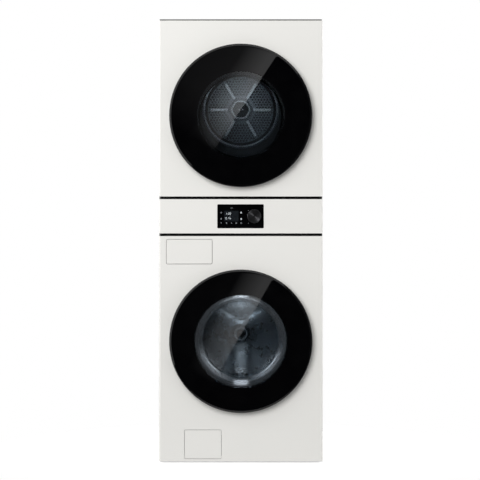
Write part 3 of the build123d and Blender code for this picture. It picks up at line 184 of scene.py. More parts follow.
def lathe(profile, centre, steps, closed=False, relief=None):
    """Turns a profile of (y, r) rows about a front-to-back axis: x = cx + r cos a, z = cz + r sin a.
    relief(y, r, a) may give back other y and r for each point. A closed profile makes a ring."""
    profile = np.asarray(profile, float)
    angle = np.arange(steps) * TAU / steps
    y, a = np.meshgrid(profile[:, 0], angle, indexing="ij")
    r = np.repeat(profile[:, 1:2], steps, axis=1)
    if relief is not None:
        y, r = relief(y, r, a)
    points = np.stack([centre[0] + r * np.cos(a), y, centre[2] + r * np.sin(a)], axis=-1)
    faces = quads(len(profile), steps, wrap_rows=closed, wrap_columns=True)
    return points.reshape(-1, 3), [faces]


def slabs(outlines, front, back):
    """Many flat slabs at once: each of k rings of n (x, z) corners is swept from front to back."""
    outlines = np.asarray(outlines, float)
    k, n, _ = outlines.shape
    points = np.empty((k, 2, n, 3))
    points[..., 0] = outlines[:, None, :, 0]
    points[..., 1] = np.array([front, back])[None, :, None]
    points[..., 2] = outlines[:, None, :, 1]
    first = np.arange(k)[:, None, None] * 2 * n
    sides = (quads(2, n, wrap_columns=True)[None] + first).reshape(-1, 4)
    caps = np.concatenate([np.arange(n)[None], n + np.arange(n)[None, ::-1]])[None] + first
    return points.reshape(-1, 3), [sides, caps.reshape(-1, n)]


def pillow(outline, levels):
    """A raised form: rings of one outline, each shrunk by a factor about its middle and set at a depth,
    levels being (y, factor) rows; the last ring has factor 0, so the form is closed."""
    outline = np.asarray(outline, float)
    middle = outline.mean(axis=0)
    levels = np.asarray(levels, float)
    flat = middle + (outline - middle)[None] * levels[:, 1][:, None, None]
    y = np.repeat(levels[:, 0][:, None], len(outline), axis=1)
    points = np.stack([flat[..., 0], y, flat[..., 1]], axis=-1)
    return points.reshape(-1, 3), [quads(len(levels), len(outline), wrap_columns=True)]


def box_outline(x, z, width, height, radius, steps=5):
    """A rectangle with rounded corners as a ring of (x, z) points."""
    sides = np.array([(-1, -1), (1, -1), (1, 1), (-1, 1)]) * (width / 2, height / 2) + (x, z)
    return soften(ring(sides), radius, steps)[1:-1]


def round_outline(x, z, radius, sides=24):
    """A regular ring of (x, z) points."""
    angle = np.arange(sides) * TAU / sides
    return np.stack([x + radius * np.cos(angle), z + radius * np.sin(angle)], axis=1)


def join(*forms):
    """Puts several forms into one set of points and faces."""
    points, faces, count = [], [], 0
    for form_points, form_faces in forms:
        points.append(form_points)
        faces += [f + count for f in form_faces]
        count += len(form_points)
    return np.concatenate(points), faces


def copied(faces, count, size):
    """Faces of so many copies of a form, one after the other, each with so many points."""
    first = np.arange(count)[:, None, None] * size
    return [(f[None] + first).reshape(-1, f.shape[1]) for f in faces]


def turned(form, centre, angles):
    """Copies of a form turned about a front-to-back axis through the centre, as one form."""
    points, faces = form
    angles = np.asarray(angles, float)[:, None]
    x, z = points[None, :, 0] - centre[0], points[None, :, 2] - centre[2]
    cos, sin = np.cos(angles), np.sin(angles)
    y = np.repeat(points[None, :, 1], len(angles), axis=0)
    copies = np.stack([centre[0] + x * cos - z * sin, y, centre[2] + x * sin + z * cos], axis=-1)
    return copies.reshape(-1, 3), copied(faces, len(angles), len(points))


def punched_disc(centre, reach, holes, hole, front, back, steps, sides=10):
    """A disc with round holes and an open rim. The rim circle and the hole circles are filled with a
    constrained Delaunay net, which is laid at the front and the back. A wall round each hole joins them."""
    within_outlines, least = 1, 1e-9
    cuts = np.asarray(holes)[:, None] + round_outline(0, 0, hole, sides)[None]
    flat = np.concatenate([round_outline(0, 0, reach, steps), cuts.reshape(-1, 2)])
    rim = np.arange(steps)
    ring_of = steps + np.arange(cuts.shape[0] * sides).reshape(-1, sides)
    cut_edges = np.stack([ring_of, np.roll(ring_of, -1, axis=1)], axis=-1).reshape(-1, 2)
    edges = np.concatenate([np.stack([rim, np.roll(rim, -1)], axis=1), cut_edges])
    corners_of = [Vector(p) for p in flat.tolist()]
    net = delaunay_2d_cdt(corners_of, edges.tolist(), [], within_outlines, least)
    triangles = np.array(net[2])
    if len(net[0]) != len(flat) or triangles.max() >= len(flat):
        raise RuntimeError("the punched net has points of its own")
    owner = np.where(triangles < steps, -1 - triangles, (triangles - steps) // sides)
    inside = (owner == owner[:, :1]).all(axis=1)
    triangles = triangles[~inside]
    n = len(flat)
    points = np.empty((2, n, 3))
    points[..., 0], points[..., 2] = centre[0] + flat[:, 0], centre[2] + flat[:, 1]
    points[0, :, 1], points[1, :, 1] = front, back
    walls = np.concatenate([cut_edges, cut_edges[:, ::-1] + n], axis=1)
    return points.reshape(-1, 3), [np.concatenate([triangles, triangles[:, ::-1] + n]), walls]


def punched_tube(centre, outer, inner, front, back, around, rows, hole):
    """A tube wall with round holes and open ends. Each cell of a staggered grid is a square of eight
    points with a ring of eight hole points in its middle, at the outer and the inner radius, with a wall
    between the two."""
    wide, high = 2 * around, 2 * rows + 1
    turn, step = TAU / wide, (back - front) / (high - 1)
    a, b = np.meshgrid(np.arange(high), np.arange(wide), indexing="ij")
    i, j = [v.ravel() for v in np.meshgrid(np.arange(rows), np.arange(around), indexing="ij")]
    mid_a, mid_b = 2 * i + 1, 2 * j + 1 + i % 2
    off = np.array([(-1, -1), (-1, 0), (-1, 1), (0, 1), (1, 1), (1, 0), (1, -1), (0, -1)])
    square = (mid_a[:, None] + off[:, 0]) * wide + (mid_b[:, None] + off[:, 1]) % wide
    round_off = off / np.linalg.norm(off, axis=1, keepdims=True) * hole
    layers = []
    for radius in (outer, inner):
        grid = np.stack([b * turn, front + a * step], axis=-1).reshape(-1, 2)
        cut_turn = mid_b[:, None] * turn + round_off[:, 1] / radius
        cut = np.stack([cut_turn, front + mid_a[:, None] * step + round_off[:, 0]], axis=-1).reshape(-1, 2)
        angle, y = np.concatenate([grid, cut]).T
        x, z = centre[0] + radius * np.cos(angle), centre[2] + radius * np.sin(angle)
        layers.append(np.stack([x, y, z], axis=1))
    cut_ring = high * wide + np.arange(len(i) * 8).reshape(-1, 8)
    next_square, next_ring = np.roll(square, -1, 1), np.roll(cut_ring, -1, 1)
    quad = np.stack([square, next_square, next_ring, cut_ring], axis=-1).reshape(-1, 4)
    n = len(layers[0])
    walls = np.stack([cut_ring, next_ring], axis=-1).reshape(-1, 2)
    walls = np.concatenate([walls, walls[:, ::-1] + n], axis=1)
    used = np.concatenate([quad, quad[:, ::-1] + n, walls])
    kept, used = np.unique(used, return_inverse=True)
    return np.concatenate(layers)[kept], [used.reshape(-1, 4)]


def piece(name, form, body, finishes, nodes, uv=None, pick=None, crease=35):
    """Makes a mesh object of a form, merges doubled points, turns its faces outwards and lets it ride on a
    body. It takes the place of the nodes that are named. uv(point of each corner, middle of its face) gives
    a map, and pick(middles) the number of each face's finish."""
    points, faces = form
    mesh = bpy.data.meshes.new(name)
    mesh.from_pydata(points.tolist(), [], [f for block in faces for f in block.tolist()])
    middles = np.concatenate([points[block].mean(axis=1) for block in faces])
    if uv is not None:
        sizes = np.concatenate([np.full(len(block), block.shape[1]) for block in faces])
        corner_points = np.concatenate([points[block.ravel()] for block in faces])
        layer = mesh.uv_layers.new(name="pattern")
        values = uv(corner_points, np.repeat(middles, sizes, axis=0))
        layer.data.foreach_set("uv", values.astype(np.float32).ravel())
    for finish in finishes:
        mesh.materials.append(material(finish))
    if pick is not None:
        mesh.polygons.foreach_set("material_index", pick(middles).astype(np.int32))
    work = bmesh.new()
    work.from_mesh(mesh)
    bmesh.ops.remove_doubles(work, verts=work.verts, dist=WELD)
    bmesh.ops.recalc_face_normals(work, faces=work.faces)
    work.to_mesh(mesh)
    work.free()
    mesh.polygons.foreach_set("use_smooth", np.ones(len(mesh.polygons), bool))
    mesh.set_sharp_from_angle(angle=math.radians(crease))
    made = bpy.data.objects.new(name, mesh)
    bpy.context.scene.collection.objects.link(made)
    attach(made, body)
    if nodes:
        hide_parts(*nodes)


# Finishes

def add(tree, kind, settings, feeds):
    """Adds one node. Settings are its own values; feeds give an input a value or a socket to feed it."""
    made = tree.nodes.new(kind)
    for key, value in settings.items():
        setattr(made, key, value)
    for key, value in feeds.items():
        if isinstance(value, bpy.types.NodeSocket):
            tree.links.new(value, made.inputs[key])
        else:
            made.inputs[key].default_value = value
    return made


def rgba(value):
    """A colour with full cover."""
    return (*value, 1.0)


def darker(value, share):
    """A colour with less light."""
    return tuple(c * share for c in value)


def tower_colours():
    """The colours that the user has set."""
    return bpy.context.scene.tower_colours


def start(name, **sockets):
    """A new material with its plain values set on the shader's own sockets."""
    made = bpy.data.materials.new(name)
    made.use_nodes = True
    shader = made.node_tree.nodes["Principled BSDF"]
    for key, value in sockets.items():
        shader.inputs[key.replace("_", " ")].default_value = value
    return made, made.node_tree, shader


def show(tree, shader):
    """Makes a shader what the material shows."""
    tree.links.new(shader.outputs[0], tree.nodes["Material Output"].inputs["Surface"])


def grain(tree, size, detail=2.0, feed=None, stretch=(1, 1, 1)):
    """Noise with features of a real size in metres, on Object coordinates unless fed, stretched by axis."""
    source = feed or add(tree, "ShaderNodeTexCoord", {}, {}).outputs["Object"]
    mapped = add(tree, "ShaderNodeMapping", {}, {"Vector": source, "Scale": stretch})
    feeds = {"Vector": mapped.outputs["Vector"], "Scale": 1 / size, "Detail": detail, "Roughness": 0.5}
    return add(tree, "ShaderNodeTexNoise", {}, feeds).outputs["Fac"]


def vary(tree, shader, pattern, tones=None, rough=None, depth=None, span=(0.3, 0.7)):
    """Lets a pattern drive a shader. While the pattern runs through its span, the colour goes from the
    first tone to the second and the roughness from its first value to its second. One unit of the pattern
    stands out by the depth, in metres."""
    if tones or rough:
        feeds = {"Value": pattern, "From Min": span[0], "From Max": span[1]}
        share = add(tree, "ShaderNodeMapRange", {"clamp": True}, feeds).outputs["Result"]
    if tones:
        feeds = {0: share, 6: rgba(tones[0]), 7: rgba(tones[1])}
        mixed = add(tree, "ShaderNodeMix", {"data_type": "RGBA"}, feeds)
        tree.links.new(mixed.outputs[2], shader.inputs["Base Color"])
    if rough:
        feeds = {0: share, 1: rough[1] - rough[0], 2: rough[0]}
        value = add(tree, "ShaderNodeMath", {"operation": "MULTIPLY_ADD"}, feeds)
        tree.links.new(value.outputs[0], shader.inputs["Roughness"])
    if depth:
        bump = add(tree, "ShaderNodeBump", {}, {"Height": pattern, "Strength": 1.0, "Distance": depth})
        tree.links.new(bump.outputs["Normal"], shader.inputs["Normal"])


def paint(name, value, rough, grain_size, depth, drift):
    """A sprayed or moulded coat: even colour that drifts over half a metre, and a fine skin that breaks
    up the gloss. The skin is drawn some millimetres wide, wider than the real one, so that it shows in
    the render."""
    made, tree, shader = start(name)
    vary(tree, shader, grain(tree, 500 * MM), tones=(value, darker(value, drift)))
    vary(tree, shader, grain(tree, grain_size), rough=(rough - 0.05, rough + 0.06), depth=depth)
    return made


def brushed(name, value, rough, size, stretch, depth, swing=0.08):
    """Metal with a run of fine marks along one axis, which smear its highlights. They are drawn some
    millimetres wide, wider than the real ones, so that they show in the render."""
    made, tree, shader = start(name, Metallic=1.0)
    lines = grain(tree, size, 3.0, stretch=stretch)
    vary(tree, shader, lines, (value, darker(value, 0.86)), (rough - swing, rough + swing), depth)
    return made


def powder_coat_white():
    """Polyester powder coat baked on steel: satin, with a faint orange peel."""
    return paint("powder_coat_white", tower_colours().coat, 0.46, 7 * MM, 0.04 * MM, 0.985)


def moulded_abs_white():
    """Injection-moulded ABS with a satin tool finish, a touch smoother than the coated steel."""
    return paint("moulded_abs_white", tower_colours().moulding, 0.4, 5 * MM, 0.02 * MM, 0.99)


def moulded_abs_black():
    """Black ABS with a spark-eroded grain: matt and even."""
    return paint("moulded_abs_black", tower_colours().trim, 0.52, 4 * MM, 0.05 * MM, 0.8)


def gloss_abs_black():
    """Piano-black moulding of the strips: deep gloss that mirrors the dark room, with a faint drift."""
    return paint("gloss_abs_black", tower_colours().trim, 0.12, 12 * MM, 0.005 * MM, 0.8)


def painted_cover_grey():
    """Grey stove-enamelled sheet: semi-matt, with a light speckle."""
    return paint("painted_cover_grey", tower_colours().cover, 0.5, 6 * MM, 0.04 * MM, 0.93)


def galvanised_sheet():
    """Hot-dip galvanised sheet: pale zinc with spangle grains 14 mm wide that tilt the light differently."""
    made, tree, shader = start("galvanised_sheet", Metallic=1.0)
    place = add(tree, "ShaderNodeTexCoord", {}, {}).outputs["Object"]
    cells = add(tree, "ShaderNodeTexVoronoi", {}, {"Vector": place, "Scale": 1 / (14 * MM)})
    tone = add(tree, "ShaderNodeSeparateColor", {}, {"Color": cells.outputs["Color"]}).outputs[0]
    vary(tree, shader, tone, (srgb("BEC1C3"), srgb("AEB2B5")), (0.4, 0.47), span=(0, 1))
    vary(tree, shader, grain(tree, 9 * MM), depth=0.05 * MM)
    return made


def duct_painted_shade():
    """Heater box and ducts: nearly black, with brown patches, dull. The near black is painted shade, seen
    through the holes of the air screen.
    """
    return paint("duct_painted_shade", srgb("1A1817"), 0.6, 9 * MM, 0.04 * MM, 0.6)


def bulkhead_painted_shade():
    """Painted shade on the dryer's rear wall: dark slate, satin, with a fine speckle."""
    return paint("bulkhead_painted_shade", srgb("121315"), 0.5, 6 * MM, 0.03 * MM, 0.85)


def zinc_plated_steel():
    """Bright zinc plate on pressed steel: slightly blue, with rubbed patches."""
    return brushed("zinc_plated_steel", srgb("B4B8BC"), 0.34, 3 * MM, (1, 1, 1), 0.02 * MM)


def cast_iron():
    """Painted grey casting with a sandy skin."""
    return paint("cast_iron", srgb("4B4D50"), 0.62, 4 * MM, 0.25 * MM, 0.8)


def cast_aluminium():
    """Die-cast aluminium: dull silver with a faint flow pattern."""
    return brushed("cast_aluminium", srgb("9FA2A5"), 0.45, 8 * MM, (1, 1, 1), 0.05 * MM)


def moulded_pp_grey():
    """Filled polypropylene: pale grey, matt, with soft flow marks."""
    return paint("moulded_pp_grey", srgb("C2C4C3"), 0.55, 8 * MM, 0.05 * MM, 0.94)


def moulded_pp_slate():
    """Blue-grey polypropylene of the lifters, tray and filters: satin."""
    return paint("moulded_pp_slate", srgb("8C939B"), 0.42, 6 * MM, 0.03 * MM, 0.95)


def door_frame_plastic():
    """Charcoal moulded frame of the doors: matt with a fine grain."""
    return paint("door_frame_plastic", srgb("303134"), 0.48, 4 * MM, 0.04 * MM, 0.85)


def epdm_grey():
    """Grey EPDM rubber of the gasket: soft matt with a waxy sheen."""
    made = paint("epdm_grey", srgb("6A6D70"), 0.62, 5 * MM, 0.04 * MM, 0.9)
    made.node_tree.nodes["Principled BSDF"].inputs["Sheen Weight"].default_value = 0.15
    return made


def epdm_black():
    """Black rubber of hoses, belt, rollers and feet: deep matt."""
    return paint("epdm_black", srgb("1B1B1C"), 0.66, 4 * MM, 0.05 * MM, 0.8)


def pressed_felt():
    """Wool felt: fibrous, with no gloss at all. The fibres are drawn coarser than real ones."""
    made, tree, shader = start("pressed_felt", Roughness=0.95, Sheen_Weight=0.5)
    fibres = grain(tree, 2.5 * MM, 6.0)
    vary(tree, shader, fibres, (srgb("B9B2A4"), srgb("8E877A")), depth=0.4 * MM)
    return made


def printed_glass_black():
    """Toughened float glass with black enamel fired on its back: a clean mirror gloss over full black."""
    made, tree, shader = start("printed_glass_black", IOR=1.52)
    vary(tree, shader, grain(tree, 60 * MM), (srgb("030304"), srgb("050506")), (0.0, 0.02))
    return made


def lets_lamps_through(tree, shader, tint):
    """Mixes a clear shader in for shadow and diffuse rays, so that lamps light what is behind the glass."""
    path = add(tree, "ShaderNodeLightPath", {}, {})
    feeds = {0: path.outputs["Is Shadow Ray"], 1: path.outputs["Is Diffuse Ray"]}
    either = add(tree, "ShaderNodeMath", {"operation": "MAXIMUM"}, feeds)
    clear = add(tree, "ShaderNodeBsdfTransparent", {}, {"Color": rgba(tint)})
    feeds = {0: either.outputs[0], 1: shader.outputs[0], 2: clear.outputs[0]}
    show(tree, add(tree, "ShaderNodeMixShader", {}, feeds))


def thin_glass(name, tint, index):
    """Glass too thin to bend what is behind it: each face tints what passes and mirrors by Fresnel's law."""
    made, tree, shader = start(name)
    tree.nodes.remove(shader)
    clear = add(tree, "ShaderNodeBsdfTransparent", {}, {"Color": rgba(tint)})
    gloss = add(tree, "ShaderNodeBsdfGlossy", {}, {"Roughness": 0.01})
    edge = add(tree, "ShaderNodeFresnel", {}, {"IOR": index})
    feeds = {0: edge.outputs[0], 1: clear.outputs[0], 2: gloss.outputs[0]}
    show(tree, add(tree, "ShaderNodeMixShader", {}, feeds))
    return made


def tinted_window():
    """The unprinted middle of the door glass: a grey body tint that darkens what is behind it, and a coat
    of metal oxide, which mirrors more than bare glass does."""
    return thin_glass("tinted_window", tower_colours().tint, 1.75)


def clear_window_glass():
    """The thin pressed pane at the back of the dryer door: clear, with bright lines where it bends round."""
    return thin_glass("clear_window_glass", srgb("F4F7F8"), 1.5)


def pressed_bowl_glass():
    """Pressed borosilicate bowl: clear and thick, so it bends what is behind it and carries bright edges."""
    body = srgb("EEF4F6")
    made, tree, shader = start(
        "pressed_bowl_glass", Base_Color=rgba(body), Roughness=0.05, IOR=1.47, Transmission_Weight=1.0
    )
    lets_lamps_through(tree, shader, body)
    return made


def stainless_screen():
    """Stainless sheet of the air screen: grey, with a soft gloss, kept darker than the paler copy of the
    steel that paints highlights on the raised parts.
    """
    return brushed("stainless_screen", tower_colours().screen, 0.42, 5 * MM, (1, 1, 1), 0.03 * MM)


def stainless_painted_highlight():
    """Paler copy of the stainless steel for the air screen's raised parts and the washer hub's ring: painted
    highlight.
    """
    return brushed("stainless_painted_highlight", tower_colours().bright, 0.45, 5 * MM, (1, 1, 1), 0.02 * MM)


def stainless_drum():
    """Deep-drawn stainless sheet of the washer drum: bright, with broad, faint drawing marks along it."""
    return brushed("stainless_drum", tower_colours().drum, 0.28, 25 * MM, (1, 0.2, 1), 0, 0.02)


def stainless_plain():
    """Plain rolled stainless steel of the dryer drum and its fittings."""
    return brushed("stainless_plain", tower_colours().drum, 0.3, 3 * MM, (1, 0.15, 1), 0.03 * MM)


def turned_dial_metal():
    """Dark anodised aluminium turned on a lathe: rings of grooves that spread each light into two fans.
    There are ninety across the radius, fewer than on a real dial, so that they show."""
    made, tree, shader = start(
        "turned_dial_metal", Metallic=1.0, Roughness=0.35, Anisotropic=0.95, Anisotropic_Rotation=0.25
    )
    place = add(tree, "ShaderNodeUVMap", {"uv_map": "pattern"}, {}).outputs["UV"]
    lines = grain(tree, 1.0, 2.0, feed=place, stretch=(2.0, 90.0, 1.0))
    vary(tree, shader, lines, (tower_colours().dial, darker(tower_colours().dial, 0.7)))
    along = add(tree, "ShaderNodeTangent", {"direction_type": "UV_MAP", "uv_map": "pattern"}, {})
    tree.links.new(along.outputs[0], shader.inputs["Tangent"])
    return made


def readout_glass():
    """The dark field of the lit readout behind the glass: almost black, a little bluer than the rest."""
    made, tree, shader = start("readout_glass", Roughness=0.12)
    vary(tree, shader, grain(tree, 12 * MM), (srgb("15181B"), srgb("1B1F23")))
    return made


def glow_marks(name, strength, tones):
    """Marks behind the glass that glow a little, with a speckle 2 mm wide."""
    glow = rgba(tower_colours().readout)
    made, tree, shader = start(name, Roughness=0.4, Emission_Color=glow, Emission_Strength=strength)
    vary(tree, shader, grain(tree, 2 * MM), tones)
    return made


def readout_lit():
    """Lit figures: white diodes behind the glass that glow evenly, with a slightly uneven edge."""
    return glow_marks("readout_lit", 0.3, (tower_colours().readout, darker(tower_colours().readout, 0.85)))


def readout_dim():
    """Unlit or faint marks: grey screen print under the glass."""
    return glow_marks("readout_dim", 0.06, (srgb("8C9094"), srgb("767A7E")))


def circuit_laminate():
    """Potted control electronics: dark green laminate under a resin skin."""
    return paint("circuit_laminate", srgb("1F3A2C"), 0.45, 6 * MM, 0.05 * MM, 0.8)


FINISHES = (
    powder_coat_white, moulded_abs_white, moulded_abs_black, gloss_abs_black, painted_cover_grey,
    galvanised_sheet, duct_painted_shade, bulkhead_painted_shade, zinc_plated_steel, cast_iron, cast_aluminium,
    moulded_pp_grey, moulded_pp_slate, door_frame_plastic, epdm_grey, epdm_black, pressed_felt,
    printed_glass_black, tinted_window, clear_window_glass, pressed_bowl_glass, stainless_screen,
    stainless_painted_highlight, stainless_drum, stainless_plain, turned_dial_metal, readout_glass, readout_lit,
    readout_dim, circuit_laminate,
)
MAKERS = {maker.__name__: maker for maker in FINISHES}


def material(name):
    """The material of a finish, made when it is first asked for."""
    return bpy.data.materials.get(name) or MAKERS[name]()


# The finish of each material slot of the record, and of the nodes that differ from their slot
SLOT_FINISH = {
    "panel_white": "powder_coat_white",
    "fascia_white": "moulded_abs_white",
    "trim_black": "gloss_abs_black",
    "cover_grey": "painted_cover_grey",
    "galvanised_steel": "galvanised_sheet",
    "door_glass": "printed_glass_black",
    "display_black": "printed_glass_black",
    "bowl_glass": "pressed_bowl_glass",
    "door_plastic": "door_frame_plastic",
    "dial_metal": "turned_dial_metal",
    "hinge_steel": "zinc_plated_steel",
    "drum_steel": "stainless_plain",
    "cast_aluminium": "cast_aluminium",
    "cast_weight": "cast_iron",
    "tub_plastic": "moulded_pp_grey",
    "inner_plastic": "moulded_pp_slate",
    "grey_rubber": "epdm_grey",
    "black_rubber": "epdm_black",
    "felt": "pressed_felt",
    "suspension_steel": "zinc_plated_steel",
}
NODE_FINISH = {
    "control_board": "circuit_laminate",
    "levelling_feet": "epdm_black",
    # Painted shade: near black behind the holes of the air screen
    "air_ducts": "duct_painted_shade",
    # Painted shade: dark slate on the dryer's rear wall
    "dryer_rear_bulkhead": "bulkhead_painted_shade",
}


class TOWER_OT_finishes(bpy.types.Operator):
    """Give every solid the finish of its material slot."""

    bl_idname = "tower.finishes"
    bl_label = "Finish the solids"

    def execute(self, context):
        for part in frame["record"]["subparts"]:
            solid = frame["nodes"][part["node"]]
            finish = material(NODE_FINISH.get(part["node"], SLOT_FINISH[part["material_slot"]]))
            if not solid.material_slots:
                solid.data.materials.append(finish)
            for slot in solid.material_slots:
                slot.material = finish
        return {"FINISHED"}


def from_axis(points, centre):
    """Distance of points from a front-to-back axis through the centre."""
    return np.hypot(points[:, 0] - centre[0], points[:, 2] - centre[2])


def smooth(value, first, last):
    """A cubic step from 0 to 1 between two values: 3 t^2 - 2 t^3."""
    t = np.clip((value - first) / (last - first), 0, 1)
    return t * t * (3 - 2 * t)


def bells(value, places, wide):
    """A sum of bell curves of one width: exp(-((v - place) / wide)^2)."""
    return sum(np.exp(-(((value - place) / wide) ** 2)) for place in places)


class TOWER_OT_door_glass(bpy.types.Operator):
    """Build the two round door glasses: printed black round a clear tinted window."""

    bl_idname = "tower.door_glass"
    bl_label = "Door glass"

    def execute(self, context):
        sizes = context.scene.tower_sizes
        bevel, fall, band = sizes.glass_bevel, sizes.glass_fall, sizes.glass_band
        slack = 0.3 * MM
        for door, clear in (("washer_door", sizes.washer_clear), ("dryer_door", sizes.dryer_clear)):
            node = f"{door}_glass"
            low, high = corners(node)
            centre = axis_of(node)
            rim = (high[0] - low[0]) / 2
            front, back = low[1], high[1]
            side = soften(
                [
                    (front, rim - 3 * bevel),
                    (front, rim - band - bevel),
                    (front + fall, rim - band),
                    (front + 2 * fall, rim - band / 4),
                    (front + 3 * fall, rim),
                    (back - fall / 2, rim),
                    (back, rim - fall / 2),
                    (back, rim - 3 * bevel),
                ],
                fall / 2,
            )
            window = np.array([0, clear / 2, clear])
            ends = [np.stack([np.full(3, y), window], axis=1) for y in (front, back)]
            profile = np.concatenate([ends[0], side, ends[1][::-1]])

            def finish_of(middles):
                """Print, clear window or edge band, by the distance from the middle."""
                reach = from_axis(middles, centre)
                return np.where(reach < clear, 1, np.where(reach > rim - band - slack, 2, 0))

            finishes = ["printed_glass_black", "tinted_window", "moulded_abs_black"]
            form = lathe(profile, centre, steps=192)
            piece(f"{door}_pane", form, door, finishes, [node], pick=finish_of)
        return {"FINISHED"}


# Waves in the wall of the pressed bowls: share, number round the girth, turn in radians per metre of depth
BOWL_WAVES = ((1.0, 11, 40), (0.6, 27, -90), (0.5, 53, 160))


class TOWER_OT_door_bowls(bpy.types.Operator):
    """Build the pressed glass bowls behind the two windows."""

    bl_idname = "tower.door_bowls"
    bl_label = "Door bowls"

    def execute(self, context):
        sizes = context.scene.tower_sizes
        wall, mouth, brim = sizes.bowl_wall, sizes.bowl_mouth, 1 * MM
        plain, fade = 8 * MM, 10 * MM
        wave_height, bead_height, bead_width = 0.2 * MM, 0.7 * MM, 2.5 * MM
        for door, node, bend, taper, finish in (
            ("washer_door", "washer_door_bowl", 6 * MM, sizes.washer_taper, "pressed_bowl_glass"),
            ("dryer_door", "dryer_door_window", 5 * MM, sizes.dryer_taper, "clear_window_glass"),
        ):
            low, high = corners(node)
            flange = (high[0] - low[0]) / 2
            front, back = low[1], high[1]
            end = mouth - taper * (back - front)
            inner = [(back - wall, 0), (back - wall, end - wall), (front, mouth - wall)]
            outer = [
                (front + wall, flange),
                (front + wall, mouth - taper * wall),
                (back, end),
                (back, 0),
            ]
            profile = np.concatenate(
                [
                    soften(inner, bend - wall / 2, 8),
                    [(front, mouth - wall / 2), (front, flange)],
                    soften(outer[:3], brim)[:-1],
                    soften(outer[1:], bend, 8)[1:],
                ]
            )

            def ripple(y, r, a):
                """Pressing marks: between its ends the sloping wall waves by a few tenths of a millimetre
                round its girth and carries three low ring beads."""
                at_front = np.clip((y - front - plain) / fade, 0, 1)
                at_back = np.clip((back - plain - y) / fade, 0, 1)
                wave = sum(share * np.sin(count * a + turn * y) for share, count, turn in BOWL_WAVES)
                beads = bells(y, (back - 24 * MM, back - 44 * MM, front + 34 * MM), bead_width)
                return y, r + at_front * at_back * (wave_height * wave - bead_height * beads)

            form = lathe(profile, axis_of(node), steps=240, relief=ripple)
            piece(f"{door}_bowl_glass", form, door, [finish], [node])
        return {"FINISHED"}


# Radii between which the forms on the pressed back of the washer drum rise or fall
PRESSED = {
    "rim": (200 * MM, 222 * MM),
    "dome": (20 * MM, 70 * MM),
    "arm_root": (52 * MM, 80 * MM),
    "hub_inside": (18 * MM, 27 * MM),
    "hub_outside": (31 * MM, 42 * MM),
    "hub_sink": (8 * MM, 24 * MM),
    "knob": (2 * MM, 7 * MM),
}


class TOWER_OT_washer_drum(bpy.types.Operator):
    """Build the washer drum with its punched wall, rolled lip and pressed back."""

    bl_idname = "tower.washer_drum"
    bl_label = "Washer drum"

    def execute(self, context):
        sizes = context.scene.tower_sizes
        low, high = corners("washer_drum")
        centre = axis_of("washer_drum")
        radius, wall, lip = (high[0] - low[0]) / 2, 1.2 * MM, 205 * MM
        front, back = low[1], high[1]
        ends, bend, around, hole_rows = 14 * MM, 12 * MM, 80, 19
        inside, face = radius - wall, back - wall
        radii = np.concatenate([np.linspace(0, 72 * MM, 25), np.linspace(75 * MM, radius - ends, 71)])
        outer = soften([(back, radii[-1]), (back, radius), (back - ends, radius)], bend, 6)[1:]
        turned_in = soften([(front + ends, radius), (front, radius), (front, lip)], bend, 6)
        mouth = [(front + wall, lip), (front + wall, inside), (front + ends, inside)]
        mouth = soften(mouth, bend - 1 * MM, 6)
        inner = [(back - ends, inside), (face, inside), (face, radii[-1])]
        inner = soften(inner, bend - 1 * MM, 6)
        rear = np.concatenate([np.stack([np.full(len(radii), back), radii], axis=1), outer])
        seen = np.concatenate([inner[:-1], np.stack([np.full(len(radii), face), radii[::-1]], axis=1)])

        def pressed(y, r, a):
            """Three sunk petals lie between arms towards 30, 150 and 270 degrees. A petal is the wedge
            between two arms with its point rounded by a wide arc that touches both; it sinks by a cubic
            step of the distance from that outline, steeper near the hub. Along each arm runs a crowned
            ridge, and the hub is a ring round a sunk middle on a dome. Heights are shares of the height
            of the spokes."""
            ridge, arc = sizes.spoke_width / 2, 123 * MM
            half = ridge + 5 * MM
            turn = np.abs((a - math.radians(30) + math.pi / 3) % (TAU / 3) - math.pi / 3)
            along, across = r * np.cos(turn), r * np.sin(turn)
            touch = (half + arc) / math.tan(math.pi / 3)
            to_arc = arc - np.hypot(along - touch, across - half - arc)
            sunk = np.where(along > touch, across - half, to_arc)
            edge = 1 - smooth(r, *PRESSED["rim"])
            near = 1 - smooth(along, 0.5 * touch, 1.2 * touch)
            petal = smooth(sunk / (20 * MM - 15 * MM * near), -0.4, 1) * edge
            dome = 0.85 * (1 - smooth(r, *PRESSED["dome"]))
            flank = 1 - smooth(across, ridge - 14 * MM, ridge + 4 * MM)
            arm = flank * smooth(r, *PRESSED["arm_root"]) * edge
            crown = 0.06 * np.clip(1 - (across / ridge) ** 2, 0, 1)
            hub = 0.9 * smooth(r, *PRESSED["hub_inside"]) * (1 - smooth(r, *PRESSED["hub_outside"]))
            sink = 0.5 * (1 - smooth(r, *PRESSED["hub_sink"]))
            knob = 0.5 * (1 - smooth(r, *PRESSED["knob"]))
            lift = (0.18 + 0.22 * near) * (1 - petal) + (0.06 + crown) * arm + dome + hub - sink + knob
            on_back = smooth(y, back - 2.5 * MM, back - 2 * MM)
            flat = on_back * (1 - smooth(r, radius - ends - 10 * MM, radius - ends))
            return y - flat * lift * sizes.spoke_height, r

        tube = (front + ends, back - ends, around, hole_rows, sizes.drum_hole)
        form = join(
            lathe(rear, centre, steps=2 * around, relief=pressed),
            punched_tube(centre, radius, inside, *tube),
            lathe(np.concatenate([turned_in, mouth]), centre, steps=2 * around),
            lathe(seen, centre, steps=2 * around, relief=pressed),
        )

        def finish_of(middles):
            """Steel with a dark plug in the middle of the hub and round it a ring of paler steel, as painted
            highlight.
            """
            reach = from_axis(middles, centre)
            ring_part = (reach > 24 * MM) & (reach < 30 * MM)
            return np.where(reach < 19 * MM, 1, np.where(ring_part, 2, 0))

        piece(
            "washer_drum_shell",
            form,
            "washer_drum",
            ["stainless_drum", "door_frame_plastic", "stainless_painted_highlight"],
            ["washer_drum"],
            pick=finish_of,
            crease=50,
        )
        return {"FINISHED"}


